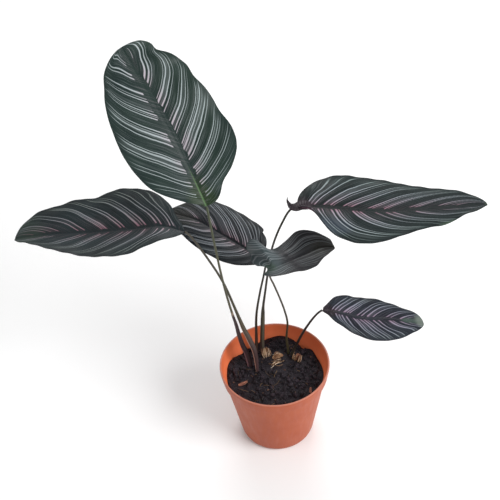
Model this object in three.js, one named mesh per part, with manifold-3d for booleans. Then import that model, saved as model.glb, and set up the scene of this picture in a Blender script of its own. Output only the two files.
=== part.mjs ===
// A potted foliage plant: six striped leaves on slim stalks, rising from the soil of a flared nursery pot.
// Millimetres, +Z up. The origin is the middle of the pot's flat underside. The plant's front faces -Y.
import * as THREE from "three";
import { mergeVertices } from "three/addons/utils/BufferGeometryUtils.js";
import Module from "manifold-3d";

const wasm = await Module();
wasm.setup();

// Driving dimensions of the pot
const POT_HEIGHT = 102;
const RIM_RADIUS = 60;
const RIM_INNER_RADIUS = 58.2;
const COLLAR_FOOT_HEIGHT = 87;
const COLLAR_FOOT_RADIUS = 57.8;
const BODY_TOP_RADIUS = 55.6;
const BODY_FOOT_RADIUS = 41.5;
const BODY_FOOT_HEIGHT = 6;
const BASE_RADIUS = 38.5;
const POT_WALL = 1.6;
const POT_FLOOR = 2;
const DRAIN_COUNT = 8;
const DRAIN_RADIUS = 4;
const DRAIN_CIRCLE = 29;
const POT_SIDES = 64;

// Driving dimensions of the soil, the leaves and the small dry pieces
const GAP = 0.3; // clearance left between neighbouring pieces
const SOIL_CENTRE_HEIGHT = 84.5;
const SOIL_EDGE_DROP = 3;
const SOIL_TOP_RADIUS = 52.8;
const WALL_FLARE = 0.176; // how much wider the pot gets inside for each millimetre of height
const STALK_FOOT_HEIGHT = 70; // how deep the stalks stand in the soil
const BLADE_THICKNESS = 0.75;
const MIDRIB_DEPTH = 1.3; // how far the midrib stands out under a blade at its base
const BLADE_ROWS = 24;
const BLADE_COLUMNS = [-1, -0.78, -0.52, -0.26, -0.07, 0, 0.07, 0.26, 0.52, 0.78, 1];
const STALK_SIDES = 8;
const STALK_RINGS = 26;

// Mounds and hollows of the soil near the pot's wall: x, y, rise and reach
const SOIL_MOUNDS = [
  [11, 50, 6.5, 17], [34, 40, -4, 7], [43, 31, 3.5, 7], [-31, 42, -4.5, 12], [-50, 18, 4.5, 13], [52, -5, 2.5, 12],
];

// Leaf blades
// midrib runs from base to tip. facing is the direction the upper side looks, from base to tip.
// left and right are the half widths at even steps from base to tip, seen from above with the tip ahead.
// The lifts raise the margins in waves, and the sweeps carry the margins forward or back along the leaf.
const LEAVES = {
  leaf_1: {
    midrib: [[-57, 22, 311], [-68, 38, 344], [-81, 56, 375], [-97, 76, 401], [-112, 94, 421], [-126, 108, 441]],
    facing: [[0, -0.6, 0.8], [0, -0.62, 0.78]],
    left: [1.5, 5, 22, 41, 51, 54, 51, 45, 36, 27, 14, 0.6],
    right: [1.5, 9, 17, 24, 37, 48, 51, 48, 47, 43, 43, 37, 27, 26, 20, 9, 0.6],
    leftLift: [0, 2, 3, 1, -1, 2, -1, 2, 0, -2, 1, 0],
    rightLift: [0, 4, -2, 5, 6, -3, 2, -4, 5, -3, 2, 0],
    arch: 0.05,
  },
  leaf_2: {
    midrib: [[-82, 28, 276], [-106, 35, 279], [-143, 44, 270], [-183, 54, 261], [-224, 65, 253], [-265, 78, 239]],
    facing: [[0, -0.3, 1], [0, -0.3, 1]],
    left: [1.5, 8, 16, 27, 36, 36, 30, 21, 12, 5, 0.6],
    right: [1.5, 3, 9, 15, 29, 43, 50, 51, 43, 42, 36, 32, 24, 14, 0.6],
    leftLift: [0, 5, 8, 10, 10, 10, 10, 10, 8, 3, 0],
    rightLift: [0, 0, 0, 0, 1, 0, 0, -1, 0, 0, 0],
    arch: 0.05,
  },
  leaf_3: {
    midrib: [[-3, 42, 228], [-18, 48, 226], [-45, 67, 233], [-73, 88, 239], [-104, 108, 236]],
    facing: [[0, -0.2, 1], [0, -0.2, 1]],
    left: [1.5, 14, 19, 28, 28, 21, 10, 0.6],
    right: [1.5, 20, 28, 34, 34, 27, 14, 0.6],
    leftLift: [0, 0, 2, 0, -2, 0, 0],
    rightLift: [0, 0, 2, -1, 1, 0, 0],
    arch: 0.05,
  },
  leaf_4: {
    midrib: [[-2, -2, 244], [6, -2, 247], [22, 8, 245], [38, 20, 241], [54, 28, 241], [69, 34, 235]],
    facing: [[0, -0.2, 1], [0, -0.2, 1]],
    left: [8, 18, 24, 32, 24, 23, 27, 22, 16, 10, 0.6],
    right: [4, 5, 9, 14, 18, 21, 18, 13, 7, 3, 0.6],
    leftLift: [0, 2, 7, 14, -3, 2, 5, 3, 1, 0, 0],
    rightLift: [0, 1, 3, 4, 4, 4, 4, 4, 2, 0, 0],
    leftSweep: [-1.2, -1.05, -0.95, -0.3, -0.1, 0, 0, 0, 0, 0.2, 0],
    rightSweep: [-1.5, -1, -0.4, 0, 0, 0, 0, 0, 0, 0, 0],
    arch: 0.05,
  },
  leaf_5: {
    midrib: [[32, 34, 293], [68, 39, 284], [111, 46, 270], [150, 52, 263], [191, 60, 256], [232, 68, 250]],
    facing: [[0, -0.2, 1], [0, -0.2, 1]],
    left: [1.5, 18, 35, 46, 41, 30, 22, 11, 0.6],
    right: [1.5, 6, 12, 34, 43, 41, 32, 26, 21, 13, 9, 3, 0.6],
    leftLift: [0, 1, 0, 0, 0, 0, 1, 0, 0],
    rightLift: [0, 6, 9, 4, 0, 0, -1, 1, -1, 2, 4, 2, 0],
    arch: 0.05,
  },
  leaf_6: {
    midrib: [[54, 8, 171], [74, 8, 164], [97, 10, 152], [120, 14, 145], [143, 18, 136], [165, 22, 127]],
    facing: [[0, -0.2, 1], [0, -0.2, 1]],
    left: [1.5, 8, 20, 26, 27, 22, 15, 10, 0.6],
    right: [1.5, 7, 14, 22, 28, 25, 16, 8, 0.6],
    leftLift: [0, 0, 0, 0, 0, 0, 0, 0, 0],
    rightLift: [0, 4, 2, 0, 0, 0, 2, 2, 0],
    arch: 0.05,
  },
};

// Leaf stalks
// Each point is x, y, z and the stalk's radius there, from above the soil up to just short of the blade.
// The sheath at the foot of a stalk is wide, and narrows to the bare stalk above it.
const STALKS = {
  leaf_1: [[-27, 14, 84, 3.3], [-27.6, 16, 92, 3.5], [-30.2, 18, 103.5, 3], [-33.4, 19, 114, 2.6],
    [-36.4, 19.5, 130, 2.3], [-38.7, 19.5, 147, 1.8], [-42, 19, 166, 1.3], [-48, 17, 213, 1.2], [-53, 18, 266, 1.15],
    [-56, 20, 302, 1.15]],
  leaf_2: [[-19.3, 6, 84, 1.7], [-19.5, 9, 95, 2.2], [-20.8, 13.5, 109, 2.8], [-25.2, 18, 122, 3],
    [-31, 22, 137, 2.4], [-38, 26.5, 162, 1.5], [-49, 28, 204, 1.25], [-66, 28, 247, 1.15], [-76, 28, 268, 1.15]],
  leaf_3: [[-19, 33, 84, 2], [-18, 34, 104, 1.7], [-16, 35, 143, 1.3], [-10.5, 36, 176, 1.15], [-5, 38, 201, 1.1],
    [-1.5, 40, 221, 1.05]],
  leaf_4: [[17, 27, 84, 1.5], [15.6, 29, 108, 1.3], [17, 25, 139, 1.1], [14, 20, 163, 1.05], [9, 13, 190, 1],
    [4, 5, 215, 1], [-0.5, -1, 236, 1]],
  leaf_5: [[-12, 32, 84, 2.5], [-11.5, 32, 104, 2.5], [-9.6, 31.4, 138, 2.3], [-8.8, 31.5, 150, 2],
    [-8, 32, 159, 1.4], [-5, 34, 178, 1.2], [-1, 36, 204, 1.15], [5, 37, 238, 1.1], [16, 36, 271, 1.1], [25, 34.5, 289, 1.1]],
  leaf_6: [[20.5, 24, 84, 1.8], [27, 22, 108, 1.5], [35, 17, 133, 1.3], [43, 12, 154, 1.2], [49, 8.6, 166.5, 1.1]],
};

// Dry husks, straws and bark chips on the soil
// Husks and chips use the same kind of outline as a blade, as free edged scraps.
// The third number of each point is its height above the soil there.
const SCRAPS = {
  husk_1: {
    midrib: [[-8, 26.5, 0.8], [-8, 27.3, 6], [-8.6, 28, 12.5]],
    facing: [[0.3, -1, 0], [0.3, -1, 0.3]],
    left: [2, 4, 4.2, 1.2], right: [2, 4.2, 3.6, 1],
    leftLift: [0.4, 1.2, 1.4, 0], rightLift: [0.4, 1, 1.2, 0], arch: 0,
  },
  husk_2: {
    midrib: [[-1, 22.5, 2.1], [4.5, 24, 3.3], [10.5, 25, 2.1]],
    facing: [[0, -0.3, 1], [0, -0.3, 1]],
    left: [1, 3.2, 3, 0.8], right: [1.5, 3.3, 3.2, 0.8],
    leftLift: [0, -1.2, -1.2, 0], rightLift: [0, -1.4, -1.2, 0], arch: 0,
  },
  husk_3: {
    midrib: [[25.5, 18, 0.8], [26.2, 18, 5.5], [28, 18.6, 11]],
    facing: [[-0.5, -1, 0], [-0.4, -1, 0.3]],
    left: [2, 3.4, 2.6, 0.8], right: [2, 3.8, 3, 0.8],
    leftLift: [0.3, 0.8, 0.8, 0], rightLift: [0.3, 1.2, 1, 0], arch: 0,
  },
  bark_chip_1: {
    midrib: [[-41, -13, 1.6], [-36, -11, 1.6], [-31, -7.5, 1.7]],
    facing: [[0, -0.1, 1], [0, -0.1, 1]],
    left: [1, 1.8, 1.6, 0.8], right: [0.8, 1.8, 1.8, 0.8], arch: 0.1,
  },
  bark_chip_2: {
    midrib: [[36.5, -30, 1.6], [36.8, -26.5, 1.7], [37.4, -22.5, 1.6]],
    facing: [[0, 0, 1], [0, 0, 1]],
    left: [0.8, 1.4, 1.3, 0.8], right: [0.8, 1.3, 1.4, 0.8], arch: 0.1,
  },
};
const SCRAP_THICKNESS = 0.8;
const SCRAP_ROWS = 6;
const STRAWS = {
  straw_1: [[-6, 14, 1.1, 0.6], [-1, 11, 2.2, 0.6], [5, 9, 2, 0.6], [9, 11.5, 1.1, 0.6]],
  straw_2: [[-3, 17, 1.1, 0.6], [3, 15, 2.4, 0.6], [8, 15.5, 2.2, 0.6], [11.5, 18, 1.1, 0.6]],
};

// Smooth curve through a list of numbers or points, with t from 0 to 1
function alongList(list, t) {
  const last = list.length - 1;
  const x = Math.min(Math.max(t, 0), 1) * last;
  const i = Math.min(Math.floor(x), last - 1);
  const f = x - i;
  const blend = (a, b, c, d) =>
    0.5 * (2 * b + (c - a) * f + (2 * a - 5 * b + 4 * c - d) * f * f + (3 * b - a - 3 * c + d) * f * f * f);
  if (typeof list[0] === "number") {
    const before = i > 0 ? list[i - 1] : 2 * list[i] - list[i + 1];
    const after = i + 2 <= last ? list[i + 2] : 2 * list[i + 1] - list[i];
    return blend(before, list[i], list[i + 1], after);
  }
  return new THREE.Vector3(...[0, 1, 2].map((axis) => alongList(list.map((p) => p[axis]), t)));
}

// The midrib's point, direction and upward normal at u, from 0 at the base to 1 at the tip
function midribFrame(leaf, u) {
  const a = (1 - Math.cos(Math.PI * u)) / 2;
  const step = 0.001;
  const point = alongList(leaf.midrib, a);
  const along = alongList(leaf.midrib, Math.min(a + step, 1))
    .sub(alongList(leaf.midrib, Math.max(a - step, 0)))
    .normalize();
  const up = alongList(leaf.facing, a);
  up.addScaledVector(along, -up.dot(along)).normalize();
  return { point, along, up, across: new THREE.Vector3().crossVectors(along, up) };
}

// A point of the blade's upper face. t runs from -1 at the left margin to 1 at the right margin.
function bladePoint(leaf, u, t) {
  const { point, along, up, across } = midribFrame(leaf, u);
  const side = t < 0 ? "left" : "right";
  const reach = Math.abs(t);
  const width = alongList(leaf[side], u);
  const lift = leaf[side + "Lift"] ? alongList(leaf[side + "Lift"], u) : 0;
  const sweep = leaf[side + "Sweep"] ? alongList(leaf[side + "Sweep"], u) : 0;
  return point
    .addScaledVector(across, width * t)
    .addScaledVector(up, lift * reach * reach + leaf.arch * width * 4 * reach * (1 - reach))
    .addScaledVector(along, sweep * width * reach * reach);
}

// The upward normal of the blade's face at u and t
function bladeNormal(leaf, u, t) {
  const du = 0.004;
  const dt = 0.02;
  const lengthwise = bladePoint(leaf, Math.min(u + du, 1), t).sub(bladePoint(leaf, Math.max(u - du, 0), t));
  const crosswise = bladePoint(leaf, u, Math.min(t + dt, 1)).sub(bladePoint(leaf, u, Math.max(t - dt, -1)));
  return crosswise.cross(lengthwise).normalize();
}

// A closed sheet from a grid of upper points and the matching grid of lower points
function sheetSolid(upper, lower) {
  const rows = upper.length;
  const columns = upper[0].length;
  const positions = [...upper.flat(), ...lower.flat()].flatMap((p) => [p.x, p.y, p.z]);
  const top = (i, j) => i * columns + j;
  const under = (i, j) => rows * columns + i * columns + j;
  const faces = [];
  for (let i = 0; i < rows - 1; i++)
    for (let j = 0; j < columns - 1; j++) {
      faces.push(top(i, j), top(i, j + 1), top(i + 1, j + 1), top(i, j), top(i + 1, j + 1), top(i + 1, j));
      faces.push(under(i, j), under(i + 1, j + 1), under(i, j + 1));
      faces.push(under(i, j), under(i + 1, j), under(i + 1, j + 1));
    }
  const border = [];
  for (let j = 0; j < columns - 1; j++) border.push([0, j]);
  for (let i = 0; i < rows - 1; i++) border.push([i, columns - 1]);
  for (let j = columns - 1; j > 0; j--) border.push([rows - 1, j]);
  for (let i = rows - 1; i > 0; i--) border.push([i, 0]);
  border.forEach((here, k) => {
    const next = border[(k + 1) % border.length];
    faces.push(top(...here), under(...here), under(...next), top(...here), under(...next), top(...next));
  });
  return closedGeometry(positions, faces);
}

function closedGeometry(positions, faces) {
  const geometry = new THREE.BufferGeometry();
  geometry.setAttribute("position", new THREE.Float32BufferAttribute(positions, 3));
  geometry.setIndex(faces);
  return geometry;
}

// A blade with its raised midrib underneath, or a dry scrap without one
function bladeSolid(leaf, rows, thickness, midribDepth) {
  const upper = [];
  const lower = [];
  for (let i = 0; i <= rows; i++) {
    const u = i / rows;
    upper.push(BLADE_COLUMNS.map((t) => bladePoint(leaf, u, t)));
    lower.push(
      BLADE_COLUMNS.map((t, j) => {
        const depth = thickness + (t === 0 ? midribDepth * (1 - 0.8 * u) : 0);
        return upper[i][j].clone().addScaledVector(bladeNormal(leaf, u, t), -depth);
      }),
    );
  }
  return sheetSolid(upper, lower);
}

// A round closed tube along points that carry their own radius
function tubeSolid(route, rings, sides) {
  const curve = new THREE.CatmullRomCurve3(
    route.map((p) => new THREE.Vector3(p[0], p[1], p[2])),
    false,
    "centripetal",
  );
  const positions = [];
  const faces = [];
  let sideways = new THREE.Vector3(1, 0, 0);
  for (let i = 0; i < rings; i++) {
    const t = i / (rings - 1);
    const centre = curve.getPoint(t);
    const along = curve.getTangent(t);
    sideways.addScaledVector(along, -sideways.dot(along)).normalize();
    const other = new THREE.Vector3().crossVectors(along, sideways);
    const radius = alongList(route.map((p) => p[3]), t);
    for (let k = 0; k < sides; k++) {
      const angle = (2 * Math.PI * k) / sides;
      const p = centre
        .clone()
        .addScaledVector(sideways, radius * Math.cos(angle))
        .addScaledVector(other, radius * Math.sin(angle));
      positions.push(p.x, p.y, p.z);
    }
  }
  for (let i = 0; i < rings - 1; i++)
    for (let k = 0; k < sides; k++) {
      const a = i * sides + k;
      const b = i * sides + ((k + 1) % sides);
      faces.push(a, b, b + sides, a, b + sides, a + sides);
    }
  const end = (rings - 1) * sides;
  for (let k = 1; k < sides - 1; k++) faces.push(0, k + 1, k, end, end + k, end + k + 1);
  return closedGeometry(positions, faces);
}

// A stalk stands upright in its hole, and its last few millimetres line up with the midrib.
function stalkRoute(name) {
  const route = STALKS[name];
  const [x, y, z, radius] = route[0];
  const blade = midribFrame(LEAVES[name], 0);
  const tip = name === "leaf_4"
    ? blade.point.addScaledVector(blade.up, -(BLADE_THICKNESS + MIDRIB_DEPTH + 0.5)).addScaledVector(blade.along, 1.2)
    : blade.point.addScaledVector(blade.along, -0.9).addScaledVector(blade.up, -0.8);
  return [[x, y, STALK_FOOT_HEIGHT, radius], [x, y, z - 3, radius], [x, y, z + 3, radius], ...route.slice(1),
    [tip.x, tip.y, tip.z, route[route.length - 1][3]]];
}

// Boolean cuts
function toManifold(geometry) {
  const plain = geometry.clone();
  plain.deleteAttribute("normal");
  plain.deleteAttribute("uv");
  const merged = mergeVertices(plain, 1e-4);
  return new wasm.Manifold(
    new wasm.Mesh({
      numProp: 3,
      vertProperties: merged.attributes.position.array,
      triVerts: new Uint32Array(merged.index.array),
    }),
  );
}

function fromManifold(solid) {
  const mesh = solid.getMesh();
  return closedGeometry(Array.from(mesh.vertProperties), Array.from(mesh.triVerts));
}

function upright(radius, low, high, sides) {
  return new THREE.CylinderGeometry(radius, radius, high - low, sides)
    .rotateX(Math.PI / 2)
    .translate(0, 0, (high + low) / 2);
}

function turned(profile, sides) {
  return new THREE.LatheGeometry(profile.map(([r, z]) => new THREE.Vector2(r, z)), sides).rotateX(Math.PI / 2);
}

// Pot: a thin flared body, a stepped collar and a ring of drain holes in the floor
function potSolid() {
  const inner = BODY_TOP_RADIUS - POT_WALL;
  const profile = [
    [0, 0], [BASE_RADIUS - 1, 0], [BASE_RADIUS, 0.4], [BASE_RADIUS + 1.8, 2.4], [BODY_FOOT_RADIUS, BODY_FOOT_HEIGHT],
    [BODY_TOP_RADIUS, COLLAR_FOOT_HEIGHT - 0.6], [COLLAR_FOOT_RADIUS - 0.4, COLLAR_FOOT_HEIGHT],
    [COLLAR_FOOT_RADIUS, COLLAR_FOOT_HEIGHT + 0.5], [RIM_RADIUS, POT_HEIGHT - 0.8], [RIM_RADIUS - 0.4, POT_HEIGHT],
    [RIM_INNER_RADIUS + 0.3, POT_HEIGHT], [RIM_INNER_RADIUS, POT_HEIGHT - 0.4],
    [COLLAR_FOOT_RADIUS - POT_WALL, COLLAR_FOOT_HEIGHT + 1.8], [inner, COLLAR_FOOT_HEIGHT - 1],
    [BODY_FOOT_RADIUS - POT_WALL, BODY_FOOT_HEIGHT], [BASE_RADIUS, POT_FLOOR], [0, POT_FLOOR],
  ];
  let pot = toManifold(turned(profile, POT_SIDES));
  for (let k = 0; k < DRAIN_COUNT; k++) {
    const angle = (2 * Math.PI * (k + 0.5)) / DRAIN_COUNT;
    const drain = upright(DRAIN_RADIUS, -1, POT_FLOOR + 1, 20)
      .translate(DRAIN_CIRCLE * Math.cos(angle), DRAIN_CIRCLE * Math.sin(angle), 0);
    pot = pot.subtract(toManifold(drain));
  }
  return fromManifold(pot);
}

// Soil: fills the pot to a lumpy, slightly domed top, with a plain hole for each stalk.
// It is heaped up against the pot's wall in some places and sunk in others.
function soilHeight(x, y) {
  const edge = Math.min(Math.hypot(x, y) / SOIL_TOP_RADIUS, 1);
  const lumps = 0.8 * Math.sin(x / 5 + 1.3) * Math.sin(y / 6 + 0.4) + 0.5 * Math.sin(x / 3.1 - y / 4.2);
  let height = SOIL_CENTRE_HEIGHT - SOIL_EDGE_DROP * edge * edge + lumps * (1 - edge ** 4);
  for (const [moundX, moundY, rise, reach] of SOIL_MOUNDS)
    height += rise * Math.exp(-((x - moundX) ** 2 + (y - moundY) ** 2) / reach ** 2);
  return height;
}

function soilSolid() {
  const floor = POT_FLOOR + GAP;
  const edgeHeight = SOIL_CENTRE_HEIGHT - SOIL_EDGE_DROP;
  const profile = [[0, floor], [BASE_RADIUS - 0.5, floor], [BODY_FOOT_RADIUS - POT_WALL - 0.4, BODY_FOOT_HEIGHT],
    [SOIL_TOP_RADIUS, edgeHeight]];
  for (let r = 48; r > 0; r -= 5) profile.push([r, SOIL_CENTRE_HEIGHT]);
  profile.push([0, SOIL_CENTRE_HEIGHT]);
  const geometry = turned(profile, 48);
  const position = geometry.getAttribute("position");
  for (let i = 0; i < position.count; i++) {
    const [x, y, z] = [position.getX(i), position.getY(i), position.getZ(i)];
    if (z < edgeHeight - 0.1) continue;
    const height = soilHeight(x, y);
    const atWall = z < edgeHeight + 0.1;
    const spread = atWall ? 1 + (WALL_FLARE * (height - edgeHeight)) / SOIL_TOP_RADIUS : 1;
    position.setXYZ(i, x * spread, y * spread, height);
  }
  let soil = toManifold(geometry);
  for (const route of Object.values(STALKS)) {
    const [x, y, , radius] = route[0];
    soil = soil.subtract(
      toManifold(upright(radius + GAP, STALK_FOOT_HEIGHT - GAP, SOIL_CENTRE_HEIGHT + 8, 16).translate(x, y, 0)),
    );
  }
  return fromManifold(soil);
}

// Assembly
const part = new THREE.Group();
part.name = "potted_striped_foliage_plant";

function addPiece(name, geometry, colour, roughness) {
  const mesh = new THREE.Mesh(
    geometry,
    new THREE.MeshStandardMaterial({ color: new THREE.Color(colour), roughness, metalness: 0 }),
  );
  mesh.name = name;
  part.add(mesh);
}

addPiece("pot", potSolid(), "#b8694e", 0.55);
addPiece("soil", soilSolid(), "#2b2730", 0.95);
for (const name of Object.keys(LEAVES)) {
  addPiece(name + "_blade", bladeSolid(LEAVES[name], BLADE_ROWS, BLADE_THICKNESS, MIDRIB_DEPTH), "#2f4543", 0.5);
  addPiece(name + "_stalk", tubeSolid(stalkRoute(name), STALK_RINGS, STALK_SIDES), "#5c5340", 0.6);
}
const onSoil = (points) => points.map(([x, y, height, ...rest]) => [x, y, soilHeight(x, y) + height, ...rest]);
for (const name of Object.keys(SCRAPS))
  addPiece(
    name,
    bladeSolid({ ...SCRAPS[name], midrib: onSoil(SCRAPS[name].midrib) }, SCRAP_ROWS, SCRAP_THICKNESS, 0),
    name.startsWith("bark") ? "#6b3f2e" : "#a07a55",
    0.85,
  );
for (const name of Object.keys(STRAWS)) addPiece(name, tubeSolid(onSoil(STRAWS[name]), 12, 6), "#b59a6c", 0.85);

export default part;
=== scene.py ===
# The looks of a potted foliage plant: six pinstriped leaves on slim stalks, standing in dark soil in a
# terracotta coloured nursery pot. Metres, +Z up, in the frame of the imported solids.
# Lengths that come from the solids are written in millimetres and scaled by MM.
import math
import random

import bmesh
import bpy
import numpy as np
from mathutils import Matrix, Vector, noise


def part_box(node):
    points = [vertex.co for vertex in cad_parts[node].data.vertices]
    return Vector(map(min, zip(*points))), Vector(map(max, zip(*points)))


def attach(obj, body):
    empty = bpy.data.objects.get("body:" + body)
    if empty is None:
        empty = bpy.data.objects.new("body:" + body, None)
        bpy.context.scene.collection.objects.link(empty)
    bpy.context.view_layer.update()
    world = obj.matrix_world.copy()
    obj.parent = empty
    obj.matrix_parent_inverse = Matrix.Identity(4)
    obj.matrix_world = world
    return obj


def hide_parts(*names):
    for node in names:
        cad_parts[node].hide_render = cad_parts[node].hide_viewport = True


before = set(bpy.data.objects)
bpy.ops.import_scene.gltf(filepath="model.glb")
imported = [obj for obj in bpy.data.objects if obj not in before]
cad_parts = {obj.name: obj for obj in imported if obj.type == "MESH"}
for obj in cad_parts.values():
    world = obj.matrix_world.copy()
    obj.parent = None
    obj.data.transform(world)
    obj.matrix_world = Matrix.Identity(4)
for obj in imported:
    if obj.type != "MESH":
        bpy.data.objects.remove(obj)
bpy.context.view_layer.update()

bl_info = {
    "name": "Potted pinstriped plant",
    "version": (1, 0, 0),
    "blender": (4, 5, 0),
    "location": "3D View > Sidebar > Plant",
    "description": "Builds the leaves, stalks, pot, soil and dry scraps of a potted foliage plant",
    "category": "Add Mesh",
}

MM = 0.001
SEED = 7

# Leaf blades, in millimetres, as in the solids.
# midrib runs from base to tip, facing is where the upper side looks, and left and right are half widths.
LEAVES = {
    "leaf_1": {
        "midrib": [[-57, 22, 311], [-68, 38, 344], [-81, 56, 375], [-97, 76, 401], [-112, 94, 421], [-126, 108, 441]],
        "facing": [[0, -0.6, 0.8], [0, -0.62, 0.78]],
        "left": [1.5, 5, 22, 41, 51, 54, 51, 45, 36, 27, 14, 0.6],
        "right": [1.5, 9, 17, 24, 37, 48, 51, 48, 47, 43, 43, 37, 27, 26, 20, 9, 0.6],
        "left_lift": [0, 2, 3, 1, -1, 2, -1, 2, 0, -2, 1, 0],
        "right_lift": [0, 4, -2, 5, 6, -3, 2, -4, 5, -3, 2, 0],
    },
    "leaf_2": {
        "midrib": [[-82, 28, 276], [-106, 35, 279], [-143, 44, 270], [-183, 54, 261], [-224, 65, 253], [-265, 78, 239]],
        "facing": [[0, -0.3, 1], [0, -0.3, 1]],
        "left": [1.5, 8, 16, 27, 36, 36, 30, 21, 12, 5, 0.6],
        "right": [1.5, 3, 9, 15, 29, 43, 50, 51, 43, 42, 36, 32, 24, 14, 0.6],
        "left_lift": [0, 5, 8, 10, 10, 10, 10, 10, 8, 3, 0],
        "right_lift": [0, 0, 0, 0, 1, 0, 0, -1, 0, 0, 0],
    },
    "leaf_3": {
        "midrib": [[-3, 42, 228], [-18, 48, 226], [-45, 67, 233], [-73, 88, 239], [-104, 108, 236]],
        "facing": [[0, -0.2, 1], [0, -0.2, 1]],
        "left": [1.5, 14, 19, 28, 28, 21, 10, 0.6],
        "right": [1.5, 20, 28, 34, 34, 27, 14, 0.6],
        "left_lift": [0, 0, 2, 0, -2, 0, 0],
        "right_lift": [0, 0, 2, -1, 1, 0, 0],
    },
    "leaf_4": {
        "midrib": [[-2, -2, 244], [6, -2, 247], [22, 8, 245], [38, 20, 241], [54, 28, 241], [69, 34, 235]],
        "facing": [[0, -0.2, 1], [0, -0.2, 1]],
        "left": [8, 18, 24, 32, 24, 23, 27, 22, 16, 10, 0.6],
        "right": [4, 5, 9, 14, 18, 21, 18, 13, 7, 3, 0.6],
        "left_lift": [0, 2, 7, 14, -3, 2, 5, 3, 1, 0, 0],
        "right_lift": [0, 1, 3, 4, 4, 4, 4, 4, 2, 0, 0],
        "left_sweep": [-1.2, -1.05, -0.95, -0.3, -0.1, 0, 0, 0, 0, 0.2, 0],
        "right_sweep": [-1.5, -1, -0.4, 0, 0, 0, 0, 0, 0, 0, 0],
    },
    "leaf_5": {
        "midrib": [[32, 34, 293], [68, 39, 284], [111, 46, 270], [150, 52, 263], [191, 60, 256], [232, 68, 250]],
        "facing": [[0, -0.2, 1], [0, -0.2, 1]],
        "left": [1.5, 18, 35, 46, 41, 30, 22, 11, 0.6],
        "right": [1.5, 6, 12, 34, 43, 41, 32, 26, 21, 13, 9, 3, 0.6],
        "left_lift": [0, 1, 0, 0, 0, 0, 1, 0, 0],
        "right_lift": [0, 6, 9, 4, 0, 0, -1, 1, -1, 2, 4, 2, 0],
    },
    "leaf_6": {
        "midrib": [[54, 8, 171], [74, 8, 164], [97, 10, 152], [120, 14, 145], [143, 18, 136], [165, 22, 127]],
        "facing": [[0, -0.2, 1], [0, -0.2, 1]],
        "left": [1.5, 8, 20, 26, 27, 22, 15, 10, 0.6],
        "right": [1.5, 7, 14, 22, 28, 25, 16, 8, 0.6],
        "left_lift": [0, 0, 0, 0, 0, 0, 0, 0, 0],
        "right_lift": [0, 4, 2, 0, 0, 0, 2, 2, 0],
    },
}
# The folded foot of leaf_5's blade, with its hooked tip, as a leaf surface of its own
FOLD = {
    "midrib": [[22.4, 39.1, 301.1], [22.1, 37, 298.8], [23.2, 34.9, 296.3], [25.6, 32.8, 294.1], [30.2, 32.2, 293.4],
               [35.7, 34.3, 293.8], [40.5, 34.6, 293.2], [45, 33.5, 292.6]],
    "facing": [[0, -0.74, 0.67], [0, -0.5, 0.85], [0, -0.3, 1]],
    "left": [0.3, 0.4, 0.8, 1.7, 3.6, 4.8, 4.8, 4.4, 3],
    "right": [0.3, 0.4, 0.8, 1.7, 3.6, 4.8, 5, 5, 4],
    "left_lift": [0, 0, 0.5, 1, 1, 0, 0], "right_lift": [0, 0, 0, -0.5, -0.5, 1.5, 3],
}
# How far each half of a blade arches up, as a share of its width
ARCH = 0.05
BLADE_THICKNESS = 0.75
FOLD_THICKNESS = 0.7
MIDRIB_DEPTH = 1.3
RIB_HALF_WIDTH = 1.6
# Low relief: furrows, waves at the margin, and the groove over the midrib
FURROW_DEPTH = 0.25
FURROW_SPACING = 9.5
MARGIN_WAVE = 0.7
GROOVE_DEPTH = 0.35
GROOVE_WIDTH = 1.1
# Where a crease crosses leaf 4's blade and how wide it is, as shares of the blade's length
CREASE = (0.43, 0.05)
# Columns across and rows along a sheet
BLADE_GRID = (56, 150)
FOLD_GRID = (16, 48)
# How far aside of a midrib the fold's map starts, in millimetres
FOLD_MAP_START = 12

# Leaf stalks: x, y, z and radius from the soil up, in millimetres, as in the solids
STALKS = {
    "leaf_1": [[-27, 14, 84, 3.3], [-27.6, 16, 92, 3.5], [-30.2, 18, 103.5, 3], [-33.4, 19, 114, 2.6],
               [-36.4, 19.5, 130, 2.3], [-38.7, 19.5, 147, 1.8], [-42, 19, 166, 1.3], [-48, 17, 213, 1.2],
               [-53, 18, 266, 1.15], [-56, 20, 302, 1.15]],
    "leaf_2": [[-19.3, 6, 84, 1.7], [-19.5, 9, 95, 2.2], [-20.8, 13.5, 109, 2.8], [-25.2, 18, 122, 3],
               [-31, 22, 137, 2.4], [-38, 26.5, 162, 1.5], [-49, 28, 204, 1.25], [-66, 28, 247, 1.15],
               [-76, 28, 268, 1.15]],
    "leaf_3": [[-19, 33, 84, 2], [-18, 34, 104, 1.7], [-16, 35, 143, 1.3], [-10.5, 36, 176, 1.15],
               [-5, 38, 201, 1.1], [-1.5, 40, 221, 1.05]],
    "leaf_4": [[17, 27, 84, 1.5], [15.6, 29, 108, 1.3], [17, 25, 139, 1.1], [14, 20, 163, 1.05], [9, 13, 190, 1],
               [4, 5, 215, 1], [-0.5, -1, 236, 1]],
    "leaf_5": [[-12, 32, 84, 2.5], [-11.5, 32, 104, 2.5], [-9.6, 31.4, 138, 2.3], [-8.8, 31.5, 150, 2],
               [-8, 32, 159, 1.4], [-5, 34, 178, 1.2], [-1, 36, 204, 1.15], [5, 37, 238, 1.1],
               [16, 36, 271, 1.1], [25, 34.5, 289, 1.1]],
    "leaf_6": [[20.5, 24, 84, 1.8], [27, 22, 108, 1.5], [35, 17, 133, 1.3], [43, 12, 154, 1.2],
               [49, 8.6, 166.5, 1.1]],
}
STALK_FOOT_HEIGHT = 70
# Rings and sides of a stalk's tube, and its ribs' height as a share of its radius
STALK_GRID = (150, 20)
STALK_RIBS = 0.04

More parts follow.
